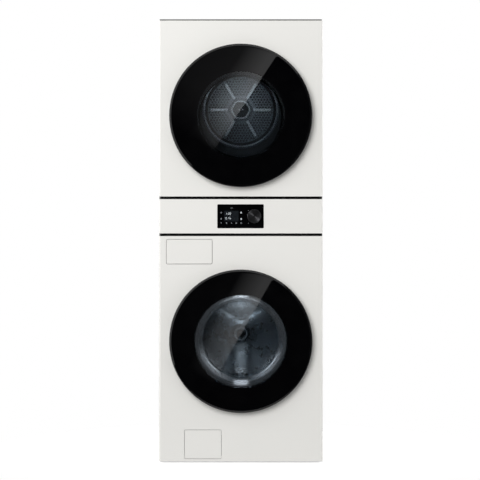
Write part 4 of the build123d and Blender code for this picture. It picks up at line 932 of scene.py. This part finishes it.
class TOWER_OT_lifters(bpy.types.Operator):
    """Build the rounded fins that lift the laundry in both drums."""

    bl_idname = "tower.lifters"
    bl_label = "Drum lifters"

    def execute(self, context):
        """A fin is a grid: s runs along it and t across. It rises at its front and falls at its back by a
        quarter sine, arches across by a raised cosine, and its crest has three shallow dips."""
        rows, columns, ramp, dip, blunt = 33, 25, 0.1, 0.12, 1.4
        count = rows * columns
        s, t = np.meshgrid(np.linspace(0, 1, rows), np.linspace(-1, 1, columns), indexing="ij")
        rise, fall = [np.sin(np.pi / 2 * np.clip(part / ramp, 0, 1)) for part in (s, 1 - s)]
        swell = np.clip(rise * fall, 0, 1)
        arch = 0.5 + 0.5 * np.cos(np.pi * np.abs(t) ** blunt)
        wave = 1 - dip * np.sin(np.pi * s * 3) ** 2
        grid = quads(rows, columns)
        number = np.arange(count).reshape(rows, columns)
        edge = np.concatenate([number[0], number[1:, -1], number[-1, -2::-1], number[-2:0:-1, 0]])
        after = np.roll(edge, -1)
        skirt = np.stack([edge, after, after + count, edge + count], axis=1)
        for node, drum, base, crest in (
            ("drum_lifters", "washer_drum", 35 * MM, 55 * MM),
            ("dryer_lifters", "dryer_drum", 30 * MM, 60 * MM),
        ):
            low, high = corners(node)
            centre = axis_of(drum)
            wall = (corners(drum)[1][0] - corners(drum)[0][0]) / 2 - 1.5 * MM
            x = base * t * (0.75 + 0.25 * swell)
            y = low[1] + (high[1] - low[1]) * s
            outer = np.sqrt(wall**2 - x**2)
            inner = outer - crest * swell * arch * wave
            top, under = [np.stack([centre[0] + x, y, centre[2] + z], axis=-1) for z in (inner, outer)]
            points = np.concatenate([top.reshape(-1, 3), under.reshape(-1, 3)])
            form = turned((points, [grid, grid[:, ::-1] + count, skirt]), centre, np.radians([0, 120, 240]))
            piece(f"{drum}_fins", form, drum, ["moulded_pp_slate"], [node], crease=60)
        return {"FINISHED"}


class TOWER_OT_dryer_drum(bpy.types.Operator):
    """Build the dryer drum with two rolled beads."""

    bl_idname = "tower.dryer_drum"
    bl_label = "Dryer drum"

    def execute(self, context):
        low, high = corners("dryer_drum")
        radius, wall = (high[0] - low[0]) / 2, 1.2 * MM
        deep, wide = 2.5 * MM, 5 * MM
        y = np.linspace(low[1], high[1], 121)
        places = [low[1] + share * (high[1] - low[1]) for share in (0.2, 0.8)]
        bead = deep * bells(y, places, wide)
        outer = np.stack([y, radius - bead], axis=1)
        inner = np.stack([y, radius - wall - bead], axis=1)[::-1]
        form = lathe(np.concatenate([outer, inner]), axis_of("dryer_drum"), steps=160, closed=True)
        piece("dryer_drum_shell", form, "dryer_drum", ["stainless_plain"], ["dryer_drum"])
        return {"FINISHED"}


class TOWER_OT_air_screen(bpy.types.Operator):
    """Build the punched screen at the back of the dryer with its ribs, hub and rings."""

    bl_idname = "tower.air_screen"
    bl_label = "Air screen"

    def execute(self, context):
        sizes = context.scene.tower_sizes
        low, high = corners("air_screen")
        centre = axis_of("air_screen")
        radius = (high[0] - low[0]) / 2
        back = high[1]
        face, sheet = back - 8 * MM, 2 * MM
        disc = radius - 27 * MM
        rim = soften(
            [
                (face, disc),
                (face + 4 * MM, disc + 2 * MM),
                (face + 4 * MM, radius - 14.5 * MM),
                (face - 5 * MM, radius - 12 * MM),
                (face - 6 * MM, radius - 11 * MM),
                (face - 6 * MM, radius - 8.5 * MM),
                (face + 3 * MM, radius - 5 * MM),
                (face + 3 * MM, radius),
                (back, radius),
                (back, radius - 3 * MM),
                (face + 6 * MM, radius - 15.5 * MM),
                (face + 6 * MM, disc + 2.5 * MM),
                (face + sheet, disc),
            ],
            1.5 * MM,
        )
        plate = punched_disc(centre, disc, self.places(sizes), sizes.screen_hole, face, face + sheet, 192)
        ribs = turned(self.rib(centre, face), centre, np.arange(6) * TAU / 6)
        hub_steps = [(0, 1), (2, 0.98), (4.5, 0.92), (5, 0.87), (5, 0.8)]
        hub = self.raised(self.hexagon(centre, 60 * MM, 16 * MM), face, hub_steps)
        boss_steps = [
            (3, 1),
            (12.5, 0.99),
            (13.7, 0.975),
            (14, 0.955),
            (14, 0.85),
            (13.5, 0.835),
            (11, 0.825),
            (10.5, 0.81),
            (10.5, 0.74),
        ]
        boss = self.raised(self.hexagon(centre, 48 * MM, 14 * MM), face, boss_steps)
        stud = round_outline(centre[0] + 8 * MM, centre[2], 3.4 * MM, 12)
        stud_steps = [(10, 1), (14, 1), (14.6, 0.85), (14.6, 0.6)]
        studs = turned(self.raised(stud, face, stud_steps), centre, [0, math.pi])
        form = join(plate, lathe(rim, centre, steps=192), ribs, hub, boss, studs)

        def finish_of(middles):
            """Dull sheet, a sealing strip in the groove, paler steel as painted highlight on all that stands
            up from the sheet, and a moulded face on the boss."""
            reach, height = from_axis(middles, centre), face - middles[:, 1]
            rib_foot, cap_low, cap_high = 59 * MM, 10 * MM, 10.8 * MM
            strip = (reach > disc + 1.5 * MM) & (reach < radius - 14 * MM) & (height > -5 * MM)
            ribs_up = (height > 0.5 * MM) & (reach > rib_foot)
            boss_up = (height > cap_high) & (reach < rib_foot)
            cap = (height > cap_low) & (height < cap_high) & (reach < 40 * MM)
            return np.select([strip, ribs_up | boss_up, cap], [1, 2, 3], 0)

        finishes = ["stainless_screen", "epdm_black", "stainless_painted_highlight", "door_frame_plastic"]
        piece("dryer_air_screen", form, "cabinet", finishes, ["air_screen"], pick=finish_of)
        return {"FINISHED"}

    def rib(self, centre, face):
        """A bar with a flat crest and round shoulders: its outline drawn in by an inset that follows a
        quarter circle of the shoulder's radius as the height rises to its top."""
        half, tall, shoulder = 5.75 * MM, 5 * MM, 1.5 * MM
        reach, full, under = 96 * MM, 82 * MM, -1 * MM
        turn = np.linspace(0, math.pi / 2, 6)
        insets = np.concatenate([[0.0], shoulder * (1 - np.cos(turn)), [shoulder + 1 * MM]])
        heights = np.concatenate([[0.0], tall - shoulder + shoulder * np.sin(turn), [tall]])
        middle = (centre[0] + reach, centre[2])
        rings = [box_outline(*middle, full - 2 * i, 2 * (half - i), half - i) for i in insets]
        point = np.broadcast_to(rings[0].mean(axis=0), rings[0].shape)
        rings = np.array([point, rings[0], *rings, point])
        depth = face - np.concatenate([[under, under], heights, heights[-1:]])
        y = np.repeat(depth[:, None], rings.shape[1], axis=1)
        points = np.stack([rings[..., 0], y, rings[..., 1]], axis=-1)
        return points.reshape(-1, 3), [quads(len(rings), rings.shape[1], wrap_columns=True)]

    def hexagon(self, centre, reach, rounding):
        """A six-sided outline with rounded corners."""
        return soften(ring(round_outline(centre[0], centre[2], reach, 6)), rounding, 6)[1:-1]

    def raised(self, outline, face, steps):
        """A closed boss on the screen: rings of one outline at heights in mm above its face, each a share
        of its full width."""
        heights, shares = np.array(steps, float).T
        heights = np.concatenate([[-1, -1], heights, heights[-1:]])
        shares = np.concatenate([[0, 1], shares, [0]])
        return pillow(outline, np.stack([face - heights * MM, shares], axis=1))

    def places(self, sizes):
        """Hole middles on a triangular lattice: rows are a pitch times sin 60 apart and every second one is
        shifted by half a pitch. Holes under the ribs, under the hub and past the edge are left out."""
        pitch, count = sizes.screen_pitch, np.arange(-14, 15)
        row, column = np.meshgrid(count, count, indexing="ij")
        x, z = (column + row % 2 / 2) * pitch, row * pitch * math.sin(math.pi / 3)
        reach, angle = np.hypot(x, z), np.arctan2(z, x)
        from_rib = np.abs(reach * np.sin((angle + TAU / 12) % (TAU / 6) - TAU / 12))
        keep = (reach > 64 * MM) & (reach < 144 * MM) & (from_rib > 6 * MM + sizes.screen_hole)
        return np.stack([x[keep], z[keep]], axis=1)


class TOWER_OT_gasket(bpy.types.Operator):
    """Build the folded rubber gasket between the panel and the tub."""

    bl_idname = "tower.gasket"
    bl_label = "Door gasket"

    def execute(self, context):
        low, high = corners("door_gasket")
        inner, wall, bead, lip = 190 * MM, 4 * MM, 205.5 * MM, 199.5 * MM
        front, back = low[1], high[1]
        first, last = front + 14 * MM, back - 16 * MM
        y = np.linspace(first, last, 60)
        middle = (front + back) / 2
        fold = 20 * MM * np.exp(-(((y - middle) / (11 * MM)) ** 4))
        ripple = 0.8 * MM * np.sin((y - front) / (5 * MM)) * np.exp(-(((y - middle) / (30 * MM)) ** 2))
        top = (high[0] - low[0]) / 2
        outer = np.stack([y, np.minimum(inner + wall + fold + ripple, top)], axis=1)
        inside = np.stack([y[::-1], (inner + fold + ripple)[::-1]], axis=1)
        beads = soften(
            [
                (first, inner),
                (front, inner),
                (front, bead),
                (front + 12 * MM, bead),
                (front + 12 * MM, inner + wall),
                (first, inner + wall),
            ],
            2 * MM,
        )
        tail = soften(
            [
                (last, inner + wall),
                (back - 14 * MM, inner + wall),
                (back - 14 * MM, lip),
                (back, lip),
                (back, inner),
                (last, inner),
            ],
            2 * MM,
        )
        profile = np.concatenate([beads[:-1], outer, tail[1:-1], inside[:-1]])
        form = lathe(profile, axis_of("door_gasket"), steps=144, closed=True)
        piece(
            "door_gasket_bellows", form, "cabinet", ["epdm_grey"], ["door_gasket"], crease=60
        )
        return {"FINISHED"}


class TOWER_OT_dial(bpy.types.Operator):
    """Build the turned dial with a fluted side and a shallow dished face."""

    bl_idname = "tower.dial"
    bl_label = "Dial"

    def execute(self, context):
        low, high = corners("dial_knob")
        centre = axis_of("dial_knob")
        radius = (high[0] - low[0]) / 2
        front, back = low[1], high[1]
        dish = np.linspace(0, 1, 16)
        face = np.stack([front + 1.2 * MM * (1 - dish**2) + 0.3 * MM, dish * (radius - 4 * MM)], axis=1)
        side = soften(
            [
                face[-1],
                (front, radius - 3.4 * MM),
                (front, radius - 2 * MM),
                (front + 2 * MM, radius),
                (back, radius),
                (back, 5 * MM),
            ],
            0.6 * MM,
        )
        profile = np.concatenate([face, side[1:], [(back - 4 * MM, 5 * MM), (back - 4 * MM, 0)]])

        def flutes(y, r, a):
            """Sixty flutes, 0.5 mm deep, on the side only: r falls by a raised cosine of the angle."""
            on_side = np.clip((y - front - 2.4 * MM) / (1.5 * MM), 0, 1) * (r > radius - 1 * MM)
            return y, r - on_side * 0.25 * MM * (1 + np.cos(60 * a))

        def rings(points, middles):
            """Turns and reach of each corner: a map whose first axis runs round the dial."""
            x, z = points[:, 0] - centre[0], points[:, 2] - centre[2]
            base = np.arctan2(middles[:, 2] - centre[2], middles[:, 0] - centre[0])
            turn = base + (np.arctan2(z, x) - base + math.pi) % TAU - math.pi
            return np.stack([turn / TAU, np.hypot(x, z) / radius], axis=1)

        form = lathe(profile, centre, steps=360, relief=flutes)
        finishes = ["turned_dial_metal"]
        piece("dial_cap", form, "dial", finishes, ["dial_knob"], uv=rings, crease=30)
        return {"FINISHED"}


SEGMENTS = {
    "0": "abcdef",
    "1": "bc",
    "2": "abdeg",
    "3": "abcdg",
    "4": "bcfg",
    "5": "acdfg",
    "8": "abcdefg",
}
SEGMENT_PLACES = {
    "a": (0.0, 1.0, 0.0),
    "b": (0.5, 0.5, 1.0),
    "c": (0.5, -0.5, 1.0),
    "d": (0.0, -1.0, 0.0),
    "e": (-0.5, -0.5, 1.0),
    "f": (-0.5, 0.5, 1.0),
    "g": (0.0, 0.0, 0.0),
}


def strokes(middles, half_lengths, half_widths, turns):
    """Pointed bars as rings of six (x, z) corners: a unit bar is scaled, turned by its angle and moved."""
    middles, turns = np.asarray(middles, float), np.asarray(turns, float)
    unit = np.array([(-1, 0), (-0.8, -1), (0.8, -1), (1, 0), (0.8, 1), (-0.8, 1)])
    sized = unit[None] * np.stack([half_lengths, half_widths], axis=1)[:, None]
    cos, sin = np.cos(turns)[:, None], np.sin(turns)[:, None]
    x = sized[..., 0] * cos - sized[..., 1] * sin
    z = sized[..., 0] * sin + sized[..., 1] * cos
    return np.stack([x, z], axis=-1) + middles[:, None]


def figures(text, x, z, height):
    """Seven-segment figures, each drawn from its lit bars; a colon is two short bars."""
    step, half, bar = 0.72 * height, 0.5 * height, 0.21 * height
    places = []
    for number, mark in enumerate(text):
        left = x + number * step
        if mark == ":":
            places += [(left, z + side * 0.22 * height, 0.05 * height, 0.0) for side in (-1, 1)]
        for name in SEGMENTS.get(mark, ""):
            px, pz, turn = SEGMENT_PLACES[name]
            places.append((left + px * half, z + pz * half, bar, turn * math.pi / 2))
    places = np.array(places)
    return strokes(places[:, :2], places[:, 2], np.full(len(places), 0.055 * height), places[:, 3])


# Places of the signs on the display glass, in mm from its middle
LIT_SIGNS = ((2.4, 15.4), (2.4, -11))
DIM_SIGNS = (
    (-80.9, 15.4), (-80.9, -10.1), (-80.9, -27.7), (2.4, -28.5),
    (-58.3, -28.5), (-37.4, -28.5), (-18.2, -28.5),
)
DIM_BARS = ((-37.4, 34.6), (32.9, 24.2), (32.9, -29.3))


class TOWER_OT_display(bpy.types.Operator):
    """Lay the readout, its figures and the small marks on the display glass."""

    bl_idname = "tower.display"
    bl_label = "Display marks"

    def execute(self, context):
        sizes = context.scene.tower_sizes
        centre, face = axis_of("display_glass"), corners("display_glass")[0][1]
        film, tall = 0.1 * MM, 8 * MM
        lcd_x, lcd_z = centre[0] - 38.4 * MM, centre[2] + 0.7 * MM
        field = box_outline(lcd_x, lcd_z, sizes.lcd_width, sizes.lcd_height, 2 * MM)
        times = (("1:20", 10 * MM), ("0:45", -9 * MM))
        lit = [figures(text, lcd_x - 22 * MM, lcd_z + up, tall) for text, up in times]
        lit.append(self.signs(centre, LIT_SIGNS, 2.6 * MM))
        bars = strokes(
            np.array(DIM_BARS) * MM + centre[[0, 2]],
            np.array([5.0, 1.6, 1.6]) * MM,
            np.full(3, 0.7 * MM),
            [0.0, -math.pi / 4, math.pi / 4],
        )
        dim = [self.signs(centre, DIM_SIGNS, 2.4 * MM), bars]
        for name, outlines, back, finish in (
            ("readout_field", field[None], face, "readout_glass"),
            ("readout_figures", np.concatenate(lit), face - film, "readout_lit"),
            ("display_marks", np.concatenate(dim), face, "readout_dim"),
        ):
            piece(name, slabs(outlines, back - film, back), "cabinet", [finish], ())
        return {"FINISHED"}

    def signs(self, centre, places, half):
        """Small plain signs at places in mm from the middle of the glass: in turn a ring of four bars, three
        level bars and a cross."""
        bar, kinds = 0.3 * half, []
        across, up = (half * 0.7, bar, 0.0), (half * 0.7, bar, math.pi / 2)
        kinds.append([(0, half, *across), (0, -half, *across), (half, 0, *up), (-half, 0, *up)])
        kinds.append([(0, half, half, bar, 0.0), (0, 0, half, bar, 0.0), (0, -half, half, bar, 0.0)])
        kinds.append([(0, 0, half, bar, math.pi / 4), (0, 0, half, bar, -math.pi / 4)])
        rows = []
        for number, (x, z) in enumerate(places):
            for px, pz, *bar_of in kinds[number % len(kinds)]:
                rows.append((centre[0] + x * MM + px, centre[2] + z * MM + pz, *bar_of))
        rows = np.array(rows)
        return strokes(rows[:, :2], rows[:, 2], rows[:, 3], rows[:, 4])


class TOWER_OT_rear_fittings(bpy.types.Operator):
    """Build the heads of the rear screws with their cross recess."""

    bl_idname = "tower.rear_fittings"
    bl_label = "Rear fittings"

    def execute(self, context):
        high = corners("rear_screws")[1]
        back, sheet_face = high[1], corners("rear_panel_lower")[1][1]
        head, to_a_column = 4.5 * MM, 4
        reach = np.concatenate([np.linspace(0, 3, 16), np.linspace(3.2, 4.5, 7)]) * MM
        dome = back - (back - sheet_face) * 0.55 * (reach / head) ** 3
        profile = np.concatenate([np.stack([dome, reach], axis=1), [(sheet_face, head), (sheet_face, 0)]])

        def recess(y, r, a):
            """A cross cut 1.4 mm into the dome where either of two bars lies. Their sides slope from 0.5 to
            0.75 mm off their middle lines, and their ends from 2.4 to 2.7 mm off the axis."""
            x, z = np.abs(r * np.cos(a)), np.abs(r * np.sin(a))
            bar = np.clip((0.75 * MM - np.minimum(x, z)) / (0.25 * MM), 0, 1)
            inside = np.clip((2.7 * MM - r) / (0.3 * MM), 0, 1)
            return np.maximum(y - bar * inside * 1.4 * MM, sheet_face), r

        one, faces = lathe(profile, np.zeros(3), steps=40, relief=recess)
        levels = np.concatenate([np.linspace(*span, to_a_column) for span in self.columns()])
        x = high[0] - head
        shift = np.array([(side * x, 0, z) for side in (-1, 1) for z in levels])
        points = (one[None] + shift[:, None]).reshape(-1, 3)
        form = (points, copied(faces, len(shift), len(one)))
        piece("rear_screw_heads", form, "cabinet", ["zinc_plated_steel"], ["rear_screws"])
        return {"FINISHED"}

    def columns(self):
        """Lowest and highest screw of each rear panel."""
        edge = 10 * MM
        for node in ("rear_panel_lower", "rear_panel_upper"):
            low, high = corners(node)
            yield low[2] + edge, high[2] - edge


# Lights mirrored in the washer bowl: angle and half angle in degrees, radius and half radius in mm, level
BOWL_GLINTS = (
    (270, 9, 134, 12, 8.0),
    (224, 27, 147, 14, 1.8),
    (316, 27, 147, 14, 1.9),
    (221, 14, 154, 3, 4.0),
    (320, 14, 153, 3, 5.0),
    (90, 10, 139, 3, 6.0),
    (90, 26, 144, 4, 1.8),
)

# Lamps that the washer drum does not see
OUTER_LAMPS = (
    "key", "fill", "low_fill", "dial_light", "side_-1", "side_1", "edge_-1", "edge_1", "dryer_lamp",
    "dryer_window_glow",
)
WHITE = (1, 1, 1, 1)

# The photo's side in pixels, and what one of them shows at the front of the panels
PHOTO_PIXELS = 480
MM_A_PIXEL = 4.1815


class TOWER_OT_stage(bpy.types.Operator):
    """Set the floor, the lights, the studio cards and the camera."""

    bl_idname = "tower.stage"
    bl_label = "Stage"

    def execute(self, context):
        scene = context.scene
        scene.view_settings.view_transform = "Standard"
        self.face = corners("control_fascia")[0][1]
        self.floor()
        self.world(scene)
        self.lamps()
        self.cards()
        self.camera(scene)
        return {"FINISHED"}

    def flat(self, name, points, faces, finish):
        """A stage surface from points and faces."""
        mesh = bpy.data.meshes.new(name)
        mesh.from_pydata(np.asarray(points).tolist(), [], np.asarray(faces).tolist())
        mesh.materials.append(finish)
        made = bpy.data.objects.new(name, mesh)
        bpy.context.scene.collection.objects.link(made)
        return made

    def floor(self):
        """A pale round floor that fades out at its edge and looks brighter than its light makes it."""
        edge, fade_from, fade_to, glow = 1.8, 0.55, 1.15, 0.45
        radius = np.linspace(0, edge, 20)
        points, faces = lathe(np.stack([radius * 0, radius], axis=1), np.zeros(3), steps=96)
        made, tree, shader = start("pale_floor", Base_Color=rgba(srgb("F4F4F4")), Roughness=0.9)
        place = add(tree, "ShaderNodeTexCoord", {}, {}).outputs["Object"]
        reach = add(tree, "ShaderNodeVectorMath", {"operation": "LENGTH"}, {0: place}).outputs["Value"]
        feeds = {"Value": reach, "From Min": fade_from, "From Max": fade_to}
        fade = add(tree, "ShaderNodeMapRange", {"clamp": True}, feeds).outputs["Result"]
        clear = add(tree, "ShaderNodeBsdfTransparent", {}, {})
        feeds = {0: fade, 1: shader.outputs[0], 2: clear.outputs[0]}
        show(tree, add(tree, "ShaderNodeMixShader", {}, feeds))
        seen = add(tree, "ShaderNodeLightPath", {}, {}).outputs["Is Camera Ray"]
        shader.inputs["Emission Color"].default_value = WHITE
        light = add(tree, "ShaderNodeMath", {"operation": "MULTIPLY"}, {0: seen, 1: glow})
        tree.links.new(light.outputs[0], shader.inputs["Emission Strength"])
        floor = self.flat("floor", points[:, [0, 2, 1]], faces[0], made)
        floor.visible_diffuse = False

    def world(self, scene):
        """White to the eye and in reflections, softer as a light."""
        soft = 0.3
        world = bpy.data.worlds.new("studio")
        scene.world = world
        world.use_nodes = True
        tree = world.node_tree
        path = add(tree, "ShaderNodeLightPath", {}, {})
        seen = path.outputs["Is Camera Ray"]
        for name in ("Is Glossy Ray", "Is Transmission Ray"):
            feeds = {0: seen, 1: path.outputs[name]}
            seen = add(tree, "ShaderNodeMath", {"operation": "MAXIMUM"}, feeds).outputs[0]
        back = tree.nodes["Background"]
        back.inputs["Color"].default_value = WHITE
        light = add(tree, "ShaderNodeMath", {"operation": "MULTIPLY_ADD"}, {0: seen, 1: 1 - soft, 2: soft})
        tree.links.new(light.outputs[0], back.inputs["Strength"])

    def lamp(self, name, size, energy, place, aim):
        """A round soft lamp at a place, turned to its aim and not seen itself."""
        data = bpy.data.lights.new(name, "AREA")
        data.shape, data.size, data.energy = "DISK", size, energy
        made = bpy.data.objects.new(name, data)
        made.location = place
        x, y, z = np.subtract(aim, place)
        made.rotation_euler = (math.atan2(math.hypot(x, y), -z), 0, math.atan2(-x, y))
        made.visible_camera = False
        bpy.context.scene.collection.objects.link(made)
        return made

    def lamps(self):
        """A large soft key from the upper left and two weak fills, which nothing mirrors, a small lamp
        seen in gloss alone, soft lamps for the sides and the back, and a small lamp in each drum."""
        upper_left, panels, middle = (-1.75, self.face - 6.5, 2.7), (0, self.face, 1.0), (0, 0, 0.9)
        inside, drop = 0.06, 0.02
        for name, size, energy, place, aim in (
            ("key", 4.2, 346, upper_left, panels),
            ("fill", 1.2, 7.5, (-1.6, self.face - 2.0, 2.9), (0, self.face, 1.2)),
            ("low_fill", 1.0, 1.8, (1.3, self.face - 1.2, 0.3), (0.34, self.face, 0.2)),
        ):
            self.lamp(name, size, energy, place, aim).visible_glossy = False
        streak = self.lamp("dial_light", 0.7, 90, upper_left, panels)
        streak.visible_diffuse = streak.visible_transmission = False
        for side in (-1, 1):
            self.lamp(f"side_{side}", 2.5, 115, (side * 4.0, 2.6, 3.0), middle)
            self.lamp(f"edge_{side}", 1.5, 50, (side * 4.0, -0.5, 1.6), middle)
        for name, drum, size, energy, rise in (
            ("washer_lamp", "washer_drum", 0.09, 0.13, 0.15),
            ("dryer_lamp", "dryer_drum", 0.12, 0.63, 0.08),
        ):
            low, high = corners(drum)
            x, _, z = axis_of(drum)
            self.lamp(name, size, energy, (x, low[1] + inside, z + rise), (x, high[1], z - drop))
        self.window_lights()
        self.leave_out("washer_drum_shell", OUTER_LAMPS)

    def leave_out(self, name, lamps):
        """Takes a piece out of the light of some lamps, which keeps its picture free of grain."""
        apart = bpy.data.collections.new(f"{name}_apart")
        apart.objects.link(bpy.data.objects[name])
        for lamp in lamps:
            bpy.data.objects[lamp].light_linking.receiver_collection = apart
        apart.collection_objects[0].light_linking.link_state = "EXCLUDE"

    def window_lights(self):
        """A lamp in the washer drum for the gasket, a weak one in the dryer window for its bends to
        mirror, the ring card of the washer bowl and a round card below the hub for the back of the drum
        to mirror."""
        x, _, z = axis_of("washer_drum")
        front = corners("washer_drum")[0][1]
        soft = self.lamp("gasket_lamp", 0.3, 0.4, (x, front + 0.2, z), (x, front, z))
        soft.visible_glossy = soft.visible_transmission = False
        cx, _, cz = axis_of("dryer_door_window")
        end = corners("dryer_door_window")[1][1] - 0.006
        glow = self.lamp("dryer_window_glow", 0.3, 0.05, (cx, end, cz), (cx, end - 1, cz))
        glow.visible_transmission = False
        self.bowl_card()
        below, behind, radius, level = 0.145, 0.06, 0.035, 4.5
        points = np.insert(round_outline(x, z - below, radius), 1, front + behind, axis=1)
        finish = self.glowing("glint_low_light", lambda tree: level)
        self.only_mirrored(self.flat("glint_low", points, [range(len(points))], finish))

    def glowing(self, name, level):
        """A light for a card. level(tree) gives its strength as a value or a socket. It is not sampled as a
        lamp, so only the rays that meet the card find it."""
        finish = bpy.data.materials.new(name)
        finish.use_nodes = True
        finish.cycles.emission_sampling = "NONE"
        tree = finish.node_tree
        tree.nodes.clear()
        glow = add(tree, "ShaderNodeEmission", {}, {"Strength": level(tree)})
        add(tree, "ShaderNodeOutputMaterial", {}, {"Surface": glow.outputs[0]})
        return finish

    def bowl_card(self):
        """A flat ring of light before the end of the washer bowl that only its sloping glass mirrors. The
        light is a sum of flat-topped spots, given by angle and radius, on a weak even level."""
        rows, columns, even = 34, 360, 0.3
        end = corners("washer_door_bowl")[1][1] - 14 * MM
        x, _, z = axis_of("washer_door_bowl")
        turns = np.arange(columns) * TAU / columns
        reach, angle = np.meshgrid(np.linspace(100, 166, rows) * MM, turns, indexing="ij")
        glow = np.full(reach.shape, even)
        for middle, half, place, deep, level in BOWL_GLINTS:
            away = (np.degrees(angle) - middle + 180) % 360 - 180
            glow += level * np.exp(-((away / half) ** 4) - ((reach - place * MM) / (deep * MM)) ** 4)
        y = np.full(reach.shape, end)
        points = np.stack([x + reach * np.cos(angle), y, z + reach * np.sin(angle)], axis=-1)

        def level_of(tree):
            """The light stored at each point of the card."""
            return add(tree, "ShaderNodeAttribute", {"attribute_name": "glow"}, {}).outputs["Fac"]

        finish = self.glowing("bowl_light", level_of)
        made = self.flat("bowl_card", points.reshape(-1, 3), quads(rows, columns, wrap_columns=True), finish)
        values = made.data.attributes.new("glow", "FLOAT", "POINT").data
        values.foreach_set("value", glow.ravel().astype(np.float32))
        self.only_mirrored(made)

    def cards(self):
        """Black walls behind the camera, below and to the right, and two lit cards with a slanting edge,
        all for the door glass to mirror. The walls also darken what the glass bends."""
        left, right, far, low, high = -2.4, 2.4, 3.4, -2.2, 4.4
        foot, near, y = -0.6, -1.2, self.face - 7.7
        black = start("studio_black", Base_Color=(0, 0, 0, 1), Roughness=1.0, Specular_IOR_Level=0.0)[0]
        for name, spots in (
            ("studio_wall", [(left, y, low), (right, y, low), (right, y, high), (left, y, high)]),
            ("studio_low", [(left, y, foot), (far, y, foot), (far, near, foot), (left, near, foot)]),
            ("studio_side", [(far, y, low), (far, self.face, low), (far, self.face, high), (far, y, high)]),
        ):
            wall = self.flat(name, spots, [(0, 1, 2, 3)], black)
            self.only_mirrored(wall)
            wall.visible_transmission = True
        y = self.face - 7.6
        for name, first, last, bright, tail in (
            ("dryer_card", (0.36, 2.60), (-0.30, 1.60), 0.86, 0.2),
            ("washer_card", (0.319, 0.666), (-0.30, -0.418), 0.72, 0.03),
        ):
            self.only_mirrored(self.card(name, y, np.array(first), np.array(last), bright, tail))

    def only_mirrored(self, card):
        """Leaves a card to be seen in gloss alone."""
        card.visible_camera = card.visible_diffuse = card.visible_shadow = False
        card.visible_transmission = card.visible_volume_scatter = False

    def card(self, name, y, first, last, bright, tail):
        """A card whose right edge runs from first to last. It is brightest at the top of that edge. It falls
        off down along it and with the distance from it, fast at first and then in a long weak tail."""
        span = np.linalg.norm(last - first)
        along = (last - first) / span
        across = np.array([along[1], -along[0]])
        across = across if across[0] < 0 else -across
        reach, above = 1.1, 0.3
        top = first - above * along
        spots = [top, last, last + reach * across, top + reach * across]

        def level(tree):
            """The sum of both falls across the card times the fall along its edge."""
            place = add(tree, "ShaderNodeTexCoord", {}, {}).outputs["Object"]
            feeds = {0: place, 1: (first[0], y, first[1])}
            centred = add(tree, "ShaderNodeVectorMath", {"operation": "SUBTRACT"}, feeds).outputs[0]
            falls = []
            for way, begin, end, full in (
                (across, 0.05, 0.27, 1 - tail),
                (across, 0.0, reach, tail),
                (along, 0.55 * span, 0.9 * span, bright),
            ):
                feeds = {0: centred, 1: (way[0], 0.0, way[1])}
                gone = add(tree, "ShaderNodeVectorMath", {"operation": "DOT_PRODUCT"}, feeds)
                feeds = {"Value": gone.outputs["Value"], "From Min": begin, "From Max": end}
                feeds |= {"To Min": full, "To Max": 0.0}
                falls.append(add(tree, "ShaderNodeMapRange", {"clamp": True}, feeds).outputs["Result"])
            both = add(tree, "ShaderNodeMath", {"operation": "ADD"}, {0: falls[0], 1: falls[1]})
            feeds = {0: both.outputs[0], 1: falls[2]}
            return add(tree, "ShaderNodeMath", {"operation": "MULTIPLY"}, feeds).outputs[0]

        finish = self.glowing(f"{name}_light", level)
        return self.flat(name, [(px, y, pz) for px, pz in spots], [(0, 1, 2, 3)], finish)

    def camera(self, scene):
        """Straight on, 7 m before the panels, a little below the middle of the tower."""
        data = bpy.data.cameras.new("camera")
        away, aside, height = 7.0, -3.3 * MM, 931.8 * MM
        data.sensor_width = 36
        data.lens = 36 * away / (PHOTO_PIXELS * MM_A_PIXEL * MM)
        camera = bpy.data.objects.new("camera", data)
        camera.location = (aside, self.face - away, height)
        camera.rotation_euler = (math.pi / 2, 0, 0)
        scene.collection.objects.link(camera)
        scene.camera = camera


class TOWER_PT_panel(bpy.types.Panel):
    """Lists the steps of the dressing."""

    bl_label = "Laundry Tower"
    bl_idname = "TOWER_PT_panel"
    bl_space_type = "VIEW_3D"
    bl_region_type = "UI"
    bl_category = "Laundry Tower"

    def draw(self, context):
        for step in STEPS:
            self.layout.operator(step.bl_idname)


STEPS = (
    TOWER_OT_finishes,
    TOWER_OT_door_glass,
    TOWER_OT_door_bowls,
    TOWER_OT_washer_drum,
    TOWER_OT_lifters,
    TOWER_OT_dryer_drum,
    TOWER_OT_air_screen,
    TOWER_OT_gasket,
    TOWER_OT_dial,
    TOWER_OT_display,
    TOWER_OT_rear_fittings,
    TOWER_OT_stage,
)
CLASSES = (TowerSizes, TowerColours, *STEPS, TOWER_PT_panel)


def register():
    for kind in CLASSES:
        bpy.utils.register_class(kind)
    bpy.types.Scene.tower_sizes = bpy.props.PointerProperty(type=TowerSizes)
    bpy.types.Scene.tower_colours = bpy.props.PointerProperty(type=TowerColours)


def unregister():
    del bpy.types.Scene.tower_colours
    del bpy.types.Scene.tower_sizes
    for kind in reversed(CLASSES):
        bpy.utils.unregister_class(kind)


def main():
    """Registers the add-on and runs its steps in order."""
    register()
    for step in STEPS:
        group, name = step.bl_idname.split(".")
        getattr(getattr(bpy.ops, group), name)()


if __name__ == "__main__":
    main()
